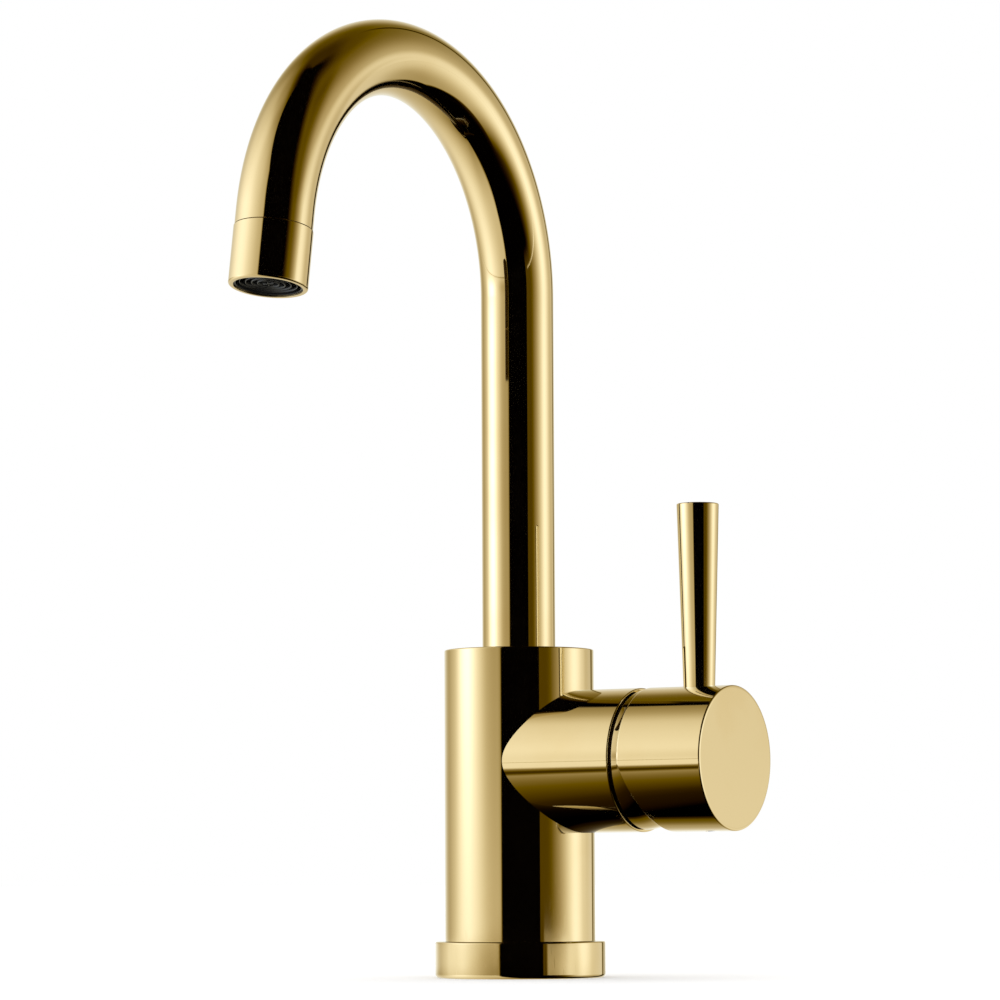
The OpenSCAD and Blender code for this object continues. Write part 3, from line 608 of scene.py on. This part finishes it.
def neckTree(neck, s):
    tree, v = startTree("swanNeck", {
        "Foot height": neck["foot"] * mm, "Arch height": neck["archHeight"] * mm,
        "Arch radius": neck["archRadius"] * mm, "Arch angle": math.radians(neck["archAngle"]),
        "Nose": neck["nose"] * mm, "Tube radius": s["radius"] * mm, "Step": s["step"] * mm},
        {"Around": s["around"]})
    new, link, calc = tree.nodes.new, tree.links.new, partial(mathNode, tree)
    riser = calc("SUBTRACT", v["Arch height"], v["Foot height"])
    bend = calc("MULTIPLY", v["Arch radius"], v["Arch angle"])
    total = calc("ADD", calc("ADD", riser, bend), v["Nose"])
    line = new("GeometryNodeCurvePrimitiveLine")
    line.inputs["End"].default_value = (0, 0, 1)
    steps = new("GeometryNodeResampleCurve")
    link(line.outputs[0], steps.inputs["Curve"])
    link(calc("CEIL", calc("DIVIDE", total, v["Step"])), steps.inputs["Count"])
    along = new("GeometryNodeSplineParameter").outputs["Factor"]
    distance = calc("MULTIPLY", along, total)
    straight = calc("MINIMUM", distance, riser)
    past = calc("SUBTRACT", distance, riser)
    angle = calc("MINIMUM", calc("MAXIMUM", calc("DIVIDE", past, v["Arch radius"]), 0),
                 v["Arch angle"])
    nose = calc("MAXIMUM", calc("SUBTRACT", past, bend), 0)
    sine, cosine = calc("SINE", angle), calc("COSINE", angle)
    reach = calc("ADD", calc("MULTIPLY", v["Arch radius"], calc("SUBTRACT", 1, cosine)),
                 calc("MULTIPLY", nose, sine))
    lift = calc("ADD", calc("MULTIPLY", v["Arch radius"], sine), calc("MULTIPLY", nose, cosine))
    rise = calc("ADD", calc("ADD", v["Foot height"], straight), lift)
    place = new("ShaderNodeCombineXYZ")
    link(calc("MULTIPLY", reach, -1), place.inputs["Y"])
    link(rise, place.inputs["Z"])
    move = new("GeometryNodeSetPosition")
    link(steps.outputs[0], move.inputs["Geometry"])
    link(place.outputs[0], move.inputs["Position"])
    circle = new("GeometryNodeCurvePrimitiveCircle")
    link(v["Around"], circle.inputs["Resolution"])
    link(v["Tube radius"], circle.inputs["Radius"])
    sweep = new("GeometryNodeCurveToMesh")
    link(move.outputs[0], sweep.inputs["Curve"])
    link(circle.outputs[0], sweep.inputs["Profile Curve"])
    return endTree(tree, sweep.outputs[0], v["Material"])


# Distance along the neck's centre line decides which way the tube's skin faces
def neckNormals(mesh, neck):
    radius, height = neck["archRadius"] * mm, neck["archHeight"] * mm
    angle = math.radians(neck["archAngle"])
    centre = np.array((0, -radius, height))
    place = np.zeros(len(mesh.vertices) * 3)
    mesh.vertices.foreach_get("co", place)
    place = place.reshape(-1, 3)
    turn = np.arctan2(place[:, 2] - height, place[:, 1] + radius)
    turn = np.where(turn < -math.pi / 2, turn + 2 * math.pi, turn)
    turn = np.where(place[:, 1] > -radius, np.maximum(turn, 0), np.minimum(turn, angle))
    spoke = np.stack((np.zeros(len(turn)), np.cos(turn), np.sin(turn)), 1)
    out = place - (centre + spoke * radius)
    along = np.stack((np.zeros(len(turn)), -np.sin(turn), np.cos(turn)), 1)
    out -= along * (out * along).sum(1, keepdims=True)
    return out / np.linalg.norm(out, axis=1, keepdims=True)


def makeNeck(neck, s, material):
    tube = grown("swan_neck", neckTree(neck, s), material)
    bm = bmesh.new()
    bm.from_mesh(tube.data)
    bmesh.ops.remove_doubles(bm, verts=bm.verts, dist=1e-7)
    outward = neckNormals(tube.data, neck)
    first = bm.faces[:][0]
    if first.normal.dot(Vector(outward[first.verts[0].index])) < 0:
        bmesh.ops.reverse_faces(bm, faces=bm.faces)
    bm.to_mesh(tube.data)
    bm.free()
    wall = tube.modifiers.new("wall", "SOLIDIFY")
    wall.thickness = s["wall"] * mm
    wall.offset = -1
    bake(tube)
    mesh = tube.data
    corners = np.zeros(len(mesh.loops), np.int32)
    mesh.loops.foreach_get("vertex_index", corners)
    keepNormals(mesh, neckNormals(mesh, neck)[corners])
    return polish(tube)


# Outlet sleeve on the neck's nose
sleeveSizes = {
    "radius": 11.2, "bore": 10.1, "start": 5.15, "mouth": 22, "lip": 9.75, "lipStart": 21.2,
    "edge": 0.6, "fineEdge": 0.12,
}


def makeSleeve(s):
    return polish(turned("outlet_sleeve", [
        (s["bore"], s["start"]), (s["radius"], s["start"], s["fineEdge"]),
        (s["radius"], s["mouth"], s["edge"]), (s["lip"], s["mouth"], s["fineEdge"]),
        (s["lip"], s["lipStart"]), (s["bore"], s["lipStart"])],
        outletAxis(swanNeck), closed=True))


# Outlet grille: a dark insert, with thin ribs grown on it by Geometry Nodes
grilleSizes = {
    "radius": 10.05, "back": 15.2, "floor": 18.6, "rimIn": 9.1, "rimOut": 9.85, "rimTop": 21.5,
    "rimSlope": 0.4, "edge": 0.1, "hubRadius": 0.55, "hubTop": 20.9, "hubEdge": 0.15,
}
ribSizes = {
    "rings": 4, "firstRing": 3, "spacing": 1.7, "halfWidth": 0.24, "halfHeight": 1.3,
    "height": 19.85, "spokes": 3, "spokeStart": 2.7, "spokeEnd": 9.5, "spokeDrop": 1.1,
    "petals": 6, "petalStart": 0.4, "petalEnd": 1.75, "around": 96, "profile": 10,
}


def makeGrille(s):
    return polish(turned("outlet_grille", [
        (0, s["back"]), (s["radius"], s["back"]), (s["radius"], s["rimTop"] - s["rimSlope"]),
        (s["rimOut"], s["rimTop"], s["edge"]), (s["rimIn"], s["rimTop"], s["edge"]),
        (s["rimIn"], s["floor"]), (s["hubRadius"], s["floor"]),
        (s["hubRadius"], s["hubTop"], s["hubEdge"]), (0, s["hubTop"])],
        outletAxis(swanNeck), around=144))


def ribTree(s):
    counts = {name: s[name] for name in ("rings", "spokes", "petals", "around", "profile")}
    sizes = {name: s[name] * mm for name in s if name not in counts}
    tree, v = startTree("outletRibs", sizes, counts)
    new, link, calc = tree.nodes.new, tree.links.new, partial(mathNode, tree)
    index = new("GeometryNodeInputIndex").outputs[0]

    def vector(x=0, y=0, z=0):
        node = new("ShaderNodeCombineXYZ")
        for target, value in zip(node.inputs, (x, y, z)):
            socket(tree, target, value)
        return node.outputs[0]

    def copies(count, shape, height, size, turn):
        points = new("GeometryNodePoints")
        link(count, points.inputs["Count"])
        link(vector(z=height), points.inputs["Position"])
        place = new("GeometryNodeInstanceOnPoints")
        link(points.outputs[0], place.inputs["Points"])
        link(shape, place.inputs["Instance"])
        socket(tree, place.inputs["Rotation"], turn)
        socket(tree, place.inputs["Scale"], size)
        real = new("GeometryNodeRealizeInstances")
        link(place.outputs[0], real.inputs[0])
        return real.outputs[0]

    def spread(count):  # an even turn for every copy
        return vector(z=calc("DIVIDE", calc("MULTIPLY", index, 2 * math.pi), count))

    def bar(start, end):
        line = new("GeometryNodeCurvePrimitiveLine")
        link(vector(start), line.inputs["Start"])
        link(vector(end), line.inputs["End"])
        return line.outputs[0]

    circle = new("GeometryNodeCurvePrimitiveCircle")
    link(v["around"], circle.inputs["Resolution"])
    circle.inputs["Radius"].default_value = 1
    reach = calc("ADD", v["firstRing"], calc("MULTIPLY", index, v["spacing"]))
    rings = copies(v["rings"], circle.outputs[0], v["height"], vector(reach, reach, 1), None)
    low = calc("SUBTRACT", v["height"], v["spokeDrop"])
    spoke, petal = bar(v["spokeStart"], v["spokeEnd"]), bar(v["petalStart"], v["petalEnd"])
    spokes = copies(v["spokes"], spoke, low, None, spread(v["spokes"]))
    petals = copies(v["petals"], petal, v["height"], None, spread(v["petals"]))
    lines = new("GeometryNodeJoinGeometry")
    for part in (rings, spokes, petals):
        link(part, lines.inputs[0])
    profile = new("GeometryNodeCurvePrimitiveCircle")
    link(v["profile"], profile.inputs["Resolution"])
    profile.inputs["Radius"].default_value = 1
    flat = new("GeometryNodeTransform")
    link(profile.outputs[0], flat.inputs["Geometry"])
    link(vector(v["halfWidth"], v["halfHeight"], 1), flat.inputs["Scale"])
    sweep = new("GeometryNodeCurveToMesh")
    link(lines.outputs[0], sweep.inputs["Curve"])
    link(flat.outputs[0], sweep.inputs["Profile Curve"])
    sweep.inputs["Fill Caps"].default_value = True
    return endTree(tree, sweep.outputs[0], v["Material"])


def makeRibs(s, material):
    ribs = grown("outlet_ribs", ribTree(s), material)
    axis = outletAxis(swanNeck)
    bm = bmesh.new()
    bm.from_mesh(ribs.data)
    turn = Matrix.Translation(axis.translation * mm) @ axis.to_3x3().to_4x4()
    bmesh.ops.transform(bm, matrix=turn, verts=bm.verts)
    bmesh.ops.recalc_face_normals(bm, faces=bm.faces)
    for rib in bm.faces:
        rib.smooth = len(rib.verts) == 4
    bm.to_mesh(ribs.data)
    bm.free()
    return ribs


# Domed ring in the branch's mouth
domeSizes = {
    "radius": 20.7, "skirt": 18.95, "skirtStart": 39.52, "start": 44.6, "bore": 17,
    "wall": 2, "hole": 13, "edge": 0.15, "shadeGap": 0.05,
}


def makeDome(s):
    def reach(radius, ring):
        return pivotX + math.sqrt(radius ** 2 - ring ** 2)
    inner = s["radius"] - s["wall"]
    rim = math.sqrt(s["radius"] ** 2 - (s["start"] - pivotX) ** 2)
    dome = polish(turned("dome_cover", [
        (s["bore"], s["skirtStart"]), (s["skirt"], s["skirtStart"]), (s["skirt"], s["start"]),
        (rim, s["start"], s["edge"]), pivotArc, (s["hole"], reach(s["radius"], s["hole"])),
        (s["hole"], reach(inner, s["hole"])), pivotArc, (s["bore"], reach(inner, s["bore"]))],
        leverAxis, closed=True))
    for finish in ("polished_gold", "painted_shade_gold"):  # the skirt is painted dark as shade, so that the gap reads dark
        dome.data.materials.append(finishes[finish])
    # faces of the skirt get the painted shade finish
    for skin in dome.data.polygons:
        skin.material_index = int(skin.center.x < (s["start"] - s["shadeGap"]) * mm)
    return dome


# Lever cap: hollowed round the dome, with a slanted cut below that clears the branch
capSizes = {
    "radius": 21.25, "back": 46.46, "face": 74.66, "edge": 0.45, "backEdge": 0.85,
    "rollOff": 0.75, "rollDrop": 0.12, "rollRound": 2.5,
    "hollow": 21, "cutDrop": 2, "cutAngle": 21, "cutRound": 0.8, "around": 288, "roundSteps": 8,
    "stemHole": 7.1, "stemStart": 12, "stemEnd": 71.06,
    "rodX": 62.66, "rodSeat": 20.435, "rodHole": 4.7, "rodHoleTop": 6,
    "studHole": 3.05, "studDepth": 7.3, "grubX": 67.16, "grubHole": 2.55,
}


def capColumn(s, angle):
    steep = math.tan(math.radians(s["cutAngle"]))
    down, soft = math.cos(angle), s["cutRound"]

    def backAt(radius):
        past = radius * down - s["cutDrop"]
        if past > soft:
            return s["back"] + past * steep
        return s["back"] + steep * max(0, past + soft) ** 2 / (4 * soft)
    ring = 20.0  # the hollow's edge, found step by step where its sphere meets the back or the cut
    for _ in range(30):
        ring = math.sqrt(s["hollow"] ** 2 - (backAt(ring) - pivotX) ** 2)
    runs = outlineSteps([
        (0, pivotX + s["hollow"]), pivotArc, (ring, backAt(ring)),
        (s["radius"], backAt(s["radius"]), s["backEdge"]),
        (s["radius"], s["face"] - s["rollDrop"], s["edge"]),
        (s["radius"] - s["rollOff"], s["face"], s["rollRound"]),
        (0, s["face"])], False, s["roundSteps"])
    past = s["radius"] * down - s["cutDrop"]
    tilt = math.atan(steep * min(1, max(0, (past + soft) / (2 * soft))))
    back = Vector((math.sin(tilt), 0, -math.cos(tilt)))
    radial = Vector((math.cos(angle), math.sin(angle), 0))
    runs[1] = [(*step, tuple(back)) for step in runs[1]]
    count = len(runs[2]) - 1
    runs[2] = [(*step, tuple((back * (1 - i / count) + radial * (i / count)).normalized()))
               for i, step in enumerate(runs[2])]
    return runs


def makeCap(s):
    angles = [2 * math.pi * k / s["around"] for k in range(s["around"])]
    cap = meshFromColumns("lever_knob", [(a, capColumn(s, a)) for a in angles], leverAxis)
    half = s["stemHole"] / 2
    low = (-half, -half, pivotX + s["stemStart"])
    stem = block("stemHole", low, (half, half, s["stemEnd"]), leverAxis)
    seat = Matrix.Translation((s["rodX"], 0, leverHeight + s["rodSeat"]))
    rodHole = turned("rodHole", [
        (0, -s["studDepth"]), (s["studHole"], -s["studDepth"]), (s["studHole"], 0),
        (s["rodHole"], 0), (s["rodHole"], s["rodHoleTop"]), (0, s["rodHoleTop"])], seat, around=96)
    below = Matrix.Translation((s["grubX"], 0, leverHeight)) @ Matrix.Rotation(math.pi, 4, "X")
    grubHole = drill("grubHole", s["grubHole"], over, s["radius"] + 2 * over, below)
    return polish(combine(cap, [stem, rodHole, grubHole], "DIFFERENCE"))


# Tapered rod that stands on the cap
rodSizes = {
    "x": 62.66, "seat": 84.635, "top": 139.195, "seatRadius": 4.65, "topRadius": 6.25,
    "edge": 0.4, "seatEdge": 0.1, "studRadius": 3, "studLength": 7,
}


def makeRod(s):
    place = Matrix.Translation((s["x"], 0, 0))
    return polish(turned("lever_handle", [
        (0, s["seat"] - s["studLength"]), (s["studRadius"], s["seat"] - s["studLength"]),
        (s["studRadius"], s["seat"]), (s["seatRadius"], s["seat"], s["seatEdge"]),
        (s["topRadius"], s["top"], s["edge"]), (0, s["top"])], place, around=192))


def ready(made, slot, body, *replaced, finish=None):
    if not made.data.materials:
        made.data.materials.append(finishes[finish or slot])
    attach(made, body)
    if replaced:
        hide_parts(*replaced)
    print(made.name, len(made.data.polygons), "faces")


# the body, neck and sleeve use gold with painted shade where other gold mirrors them
ready(makeBody(bodySizes), "polished_gold", "body", "body", finish="body_gold")
ready(makeFlange(flangeSizes), "polished_gold", "body", "base_flange")
ready(makeNeck(swanNeck, tubeSizes, finishes["neck_gold_painted_shade"]), "polished_gold", "spout", "spout_tube")
ready(makeSleeve(sleeveSizes), "polished_gold", "spout", "aerator_sleeve", finish="neck_gold_painted_shade")
ready(makeGasket(gasketSizes), "rubber", "body", "base_gasket")
ready(makeGrille(grilleSizes), "black_plastic", "spout", "aerator_face")
ready(makeRibs(ribSizes, finishes["black_plastic"]), "black_plastic", "spout")
ready(makeDome(domeSizes), "polished_gold", "body", "dome_ring")
ready(makeCap(capSizes), "polished_gold", "lever", "lever_cap")
ready(makeRod(rodSizes), "polished_gold", "lever", "lever_rod")

# Studio: the metal mirrors a few soft cards, placed by azimuth from -Y towards +X and by elevation.
# A card is its light, its centre's azimuth, and four pairs of angles. From that centre, it rises
# between the first pair and falls between the second. In elevation, the last two pairs do the same.
studioCards = {
    "left": {
        "leftBox": (0.79, -27.4, (-139, -25.5), (25.5, 44.6), (-129, -39), (32.5, 78)),
        "leftGlow": (0.61, -57.4, (-61, -2.8), (2.8, 54), (-69.6, 10), (47, 81)),
        "leftStrip": (0.6, -56.3, (-29.3, -2), (2, 23.6), (-1, 5.1), (7.4, 9.2)),
        "leftEdgeShade": (-0.56, -96.5, (-36, -5.3), (5.3, 47.3), (-38.4, 7.6), (7.6, 12.6)),
        "leftTopShade": (-0.24, -56.6, (-45, -10.7), (10.7, 47), (13, 39.7), (54.8, 69)),
        "boxSideShade": (-0.28, -5, (-33, -11.5), (11.5, 27), (-3.2, 4.4), (4.5, 16.2)),
        "boxCornerShade": (-0.28, 12, (-35, 2), (-2, 6.3), (3.8, 46.7), (66.7, 77)),
        "sillShade": (-0.19, -40, (-36, -22), (44, 45), (-1.8, -1.5), (-0.92, -0.82)),
        "sillSide": (0.15, -105, (-45, -20), (22, 33), (-1.8, -1.5), (-0.92, -0.82)),
        "sillFoot": (-0.33, -60, (-90, -60), (60, 65), (-1.8, -1.5), (-1.45, -1.18)),
    },
    "right": {
        "backdrop": (0.63, -144, (-37.5, -18.8), (18.8, 113), (-118, -22.3), (-1.1, 48.5)),
        "rightStrip": (0.95, 137.6, (-65.2, 17.9), (-17.9, 23.6), (-49.7, 6.5), (6.6, 18.8)),
        "rightBox": (0.51, 151, (-57.2, -21.5), (21.5, 34.5), (-41.2, -37.7), (5.8, 46.2)),
        "sidePanel": (0.23, 156.6, (-81, -53.4), (53.4, 87.4), (-29, 5), (38, 78.7)),
        "ceiling": (0.05, -161.5, (-90, -45), (45, 84), (56, 67), (83, 110)),
        "lowPanel": (0.1, 89, (-25.8, -25.5), (25.5, 59.4), (-9.6, 0.2), (11.3, 11.6)),
        "sideShade": (-0.11, 105, (-16, -2.5), (2.5, 20.8), (8.1, 8.4), (42, 59)),
        "backGlow": (0.22, -150, (-22, -5.8), (12, 24), (12.3, 20.8), (33, 52)),
        "sillLight": (0.59, 89, (-22, -18), (11, 29), (-1.8, -1.5), (-0.92, -0.82)),
        "sillStep": (-0.24, 100, (-35, -30), (30, 60), (-1.8, -1.5), (-1.45, -1.18)),
        "backLight": (0.17, 170, (-26, -10), (16, 26), (-18, -4), (-0.5, 3.5)),
        "faceLight": (0.05, 150.5, (-6, -2), (2, 6), (-2, 1), (2.2, 4.5)),
    },
    "gap": {"behind": (0.85, 181, (-3.4, -1.1), (1.1, 3.4), (-14, -10), (48, 62))},
}
# Straight behind, the right side's cards have a dark gap. It widens downwards, past two slanted
# lines that give elevation by azimuth from 0 to 360 degrees, and ends at its far side and its foot.
backEdge = {"lines": ((0.27, -79.3), (1.36, -258.6)), "end": 191.5, "foot": -46, "soft": 1.2}
# The left box ends sharply on its right, and its corners are cut above and below these elevations
boxEdge = {
    "azimuth": 4.2, "soft": 1, "cutFrom": 38, "cutLean": 0.92, "footFrom": -40, "footLean": 0.25,
}
# Dim cards turn warmer, as in the photograph: gain, power and loss of green and of blue
studioTint = {"green": (1.035, 1.19, 0), "blue": (1.06, 1.6, 0.06), "least": 0.0005}
# The low parts mirror a painted table round the tap: for glossy rays the floor glows, with painted
# shade near the tap and a painted darker band further out in front. Each side of it lists its light
# by distance from the tap's axis towards a heading. It is clear for shallow rays, past its end, and
# for sources that are too high or too low.
floorSettings = {
    "reach": 12, "colour": (0.9, 0.9, 0.9), "lift": 0.22,
    "shallow": (0.9, 0.93), "height": (75, 110), "foot": (1.3, 1.9), "end": (430, 440),
    "front": {"heading": -36, "tones": [
        (-5, 0), (5, 0.012), (25, 0.022), (38, 0.04), (50, 0.075), (120, 0.245), (175, 0.4),
        (192, 0.27), (213, 0.09), (235, 0.06), (256, 0.07), (300, 0.24), (345, 0.36), (373, 0.68),
        (430, 1)]},
    "back": {"heading": -180, "tones": [
        (0, 0), (5, 0.05), (9, 0.14), (19, 0.22), (34, 0.48), (50, 0.58), (64, 0.7), (100, 0.9),
        (125, 1)]},
}


def cardGroup():
    tree = bpy.data.node_groups.new("studioCard", "ShaderNodeTree")
    new = partial(tree.interface.new_socket, socket_type="NodeSocketFloat")
    ends = [f"{edge} {end}" for edge in ("Left", "Right", "Low", "High") for end in (1, 2)]
    for name in ("Azimuth", "Elevation", "Light", "Centre", *ends):
        new(name, in_out="INPUT")
    new("Light", in_out="OUTPUT")
    azimuth, elevation, light, centre, *edges = tree.nodes.new("NodeGroupInput").outputs
    rise, calc = partial(between, tree), partial(mathNode, tree)
    away = calc("WRAP", calc("SUBTRACT", azimuth, centre), 180, -180)
    left, right = rise(away, *edges[0:2]), calc("SUBTRACT", 1, rise(away, *edges[2:4]))
    low, high = rise(elevation, *edges[4:6]), calc("SUBTRACT", 1, rise(elevation, *edges[6:8]))
    mask = calc("MULTIPLY", calc("MULTIPLY", left, right), calc("MULTIPLY", low, high))
    tree.links.new(calc("MULTIPLY", mask, light), tree.nodes.new("NodeGroupOutput").inputs["Light"])
    return tree


def tinted(tree, light, tint):
    colour = tree.nodes.new("ShaderNodeCombineColor")
    socket(tree, colour.inputs[0], light)
    for place, (gain, power, loss) in ((1, tint["green"]), (2, tint["blue"])):
        lit = mathNode(tree, "MULTIPLY_ADD", mathNode(tree, "POWER", light, power), gain, -loss)
        socket(tree, colour.inputs[place], mathNode(tree, "MAXIMUM", lit, 0))
    return colour.outputs[0]


def makeWorld(cards, edge, back, tint):
    world = bpy.data.worlds.new("studio")
    bpy.context.scene.world = world
    world.use_nodes = True
    tree = world.node_tree
    new, link, calc = tree.nodes.new, tree.links.new, partial(mathNode, tree)
    plain = tree.nodes["Background"]
    plain.inputs["Color"].default_value = (1, 1, 1, 1)
    split = new("ShaderNodeSeparateXYZ")
    link(new("ShaderNodeTexCoord").outputs["Generated"], split.inputs[0])
    x, y, z = split.outputs
    azimuth = calc("DEGREES", calc("ARCTAN2", x, calc("MULTIPLY", y, -1)))
    elevation = calc("DEGREES", calc("ARCSINE", z))
    group = cardGroup()

    def lit(side):
        light = None
        for name, card in side.items():
            node = new("ShaderNodeGroup")
            node.node_tree = group
            node.label = name
            strength, centre, *edges = card
            values = (azimuth, elevation, strength, centre, *sum(edges, ()))
            for target, value in zip(node.inputs, values):
                socket(tree, target, value)
            light = node.outputs[0] if light is None else calc("ADD", light, node.outputs[0])
        return light

    def beyond(value, line, soft):
        past = calc("DIVIDE", calc("SUBTRACT", value, line), soft)
        return calc("MULTIPLY_ADD", past, 0.5, 0.5, clamp=True)
    cut = calc("MAXIMUM", calc("SUBTRACT", elevation, edge["cutFrom"]), 0)
    foot = calc("MAXIMUM", calc("SUBTRACT", edge["footFrom"], elevation), 0)
    line = calc("MULTIPLY_ADD", cut, -edge["cutLean"],
                calc("MULTIPLY_ADD", foot, edge["footLean"], edge["azimuth"]))
    left = calc("MULTIPLY", lit(cards["left"]), beyond(line, azimuth, edge["soft"]))
    around = calc("WRAP", azimuth, 360, 0)
    first, second = (calc("MULTIPLY_ADD", around, *slant) for slant in back["lines"])
    clear = calc("MAXIMUM", beyond(elevation, calc("MAXIMUM", first, second), back["soft"]),
                 beyond(around, back["end"], back["soft"]))
    clear = calc("MULTIPLY", clear, calc("SUBTRACT", 1, lit(cards["gap"])))
    clear = calc("MAXIMUM", clear, beyond(back["foot"], elevation, back["soft"]))
    light = calc("MULTIPLY_ADD", lit(cards["right"]), clear, left)
    light = calc("MAXIMUM", light, tint["least"])
    mirrored = new("ShaderNodeBackground")
    link(tinted(tree, light, tint), mirrored.inputs["Color"])
    mix = new("ShaderNodeMixShader")
    link(new("ShaderNodeLightPath").outputs["Is Glossy Ray"], mix.inputs[0])
    link(plain.outputs[0], mix.inputs[1])
    link(mirrored.outputs[0], mix.inputs[2])
    link(mix.outputs[0], tree.nodes["World Output"].inputs["Surface"])


# White floor that keeps the tap's soft shadow. Metal sees it only where it is near, as glowing
# ground with painted shade, darkest near the tap.
def makeFloor(ground, tint):
    bm = bmesh.new()
    bmesh.ops.create_grid(bm, x_segments=8, y_segments=8, size=ground["reach"])
    floor = addShape("floor", bm)
    material = bpy.data.materials.new("paleFloor")
    material.use_nodes = True
    tree = material.node_tree
    tree.nodes.remove(tree.nodes["Principled BSDF"])
    new, link = tree.nodes.new, tree.links.new
    rise, calc = partial(between, tree, form="LINEAR"), partial(mathNode, tree)
    pale, lift = new("ShaderNodeBsdfDiffuse"), new("ShaderNodeEmission")
    pale.inputs["Color"].default_value = (*ground["colour"], 1)
    lift.inputs["Strength"].default_value = ground["lift"]
    both = new("ShaderNodeAddShader")
    link(pale.outputs[0], both.inputs[0])
    link(lift.outputs[0], both.inputs[1])
    path = new("ShaderNodeLightPath").outputs
    facing = new("ShaderNodeLayerWeight").outputs["Facing"]
    sourceHeight = calc("MULTIPLY", calc("DIVIDE", path["Ray Length"], mm),
                        calc("SUBTRACT", 1, facing))
    split = new("ShaderNodeSeparateXYZ")
    link(new("ShaderNodeTexCoord").outputs["Object"], split.inputs[0])

    def away(side):
        heading = math.radians(side["heading"])
        return calc("MULTIPLY_ADD", split.outputs[0], math.sin(heading) / mm,
                    calc("MULTIPLY", split.outputs[1], -math.cos(heading) / mm))

    def toneAlong(side):
        first, last = side["tones"][0][0], side["tones"][-1][0]
        tones = new("ShaderNodeValToRGB")
        link(rise(away(side), first, last), tones.inputs[0])
        stops = tones.color_ramp.elements
        for place, (distance, light) in enumerate(side["tones"]):
            spot = (distance - first) / (last - first)
            stop = stops[place] if place < 2 else stops.new(spot)
            stop.position = spot
            stop.color = (light, light, light, 1)
        grey = new("ShaderNodeRGBToBW")
        link(tones.outputs[0], grey.inputs[0])
        return grey.outputs[0]
    tooHigh = rise(sourceHeight, *ground["height"])
    hidden = calc("MAXIMUM", rise(facing, *ground["shallow"]), tooHigh)
    hidden = calc("MAXIMUM", hidden, rise(away(ground["front"]), *ground["end"]))
    tooLow = calc("SUBTRACT", 1, rise(sourceHeight, *ground["foot"]))
    hidden = calc("MAXIMUM", hidden, tooLow)
    # painted light and shade for the ground that gold mirrors, darkest near the tap
    light = calc("ADD", toneAlong(ground["front"]), toneAlong(ground["back"]))
    paintedGroundGlow = new("ShaderNodeEmission")
    link(tinted(tree, light, tint), paintedGroundGlow.inputs["Color"])
    clear = new("ShaderNodeBsdfTransparent")
    mirrored, seen = new("ShaderNodeMixShader"), new("ShaderNodeMixShader")
    for mix, items in ((mirrored, (hidden, paintedGroundGlow.outputs[0], clear.outputs[0])),
                       (seen, (path["Is Glossy Ray"], both.outputs[0], mirrored.outputs[0]))):
        for target, value in zip(mix.inputs, items):
            link(value, target)
    link(seen.outputs[0], tree.nodes["Material Output"].inputs["Surface"])
    floor.data.materials.append(material)


makeWorld(studioCards, boxEdge, backEdge, studioTint)
makeFloor(floorSettings, studioTint)
print("studio and floor made")
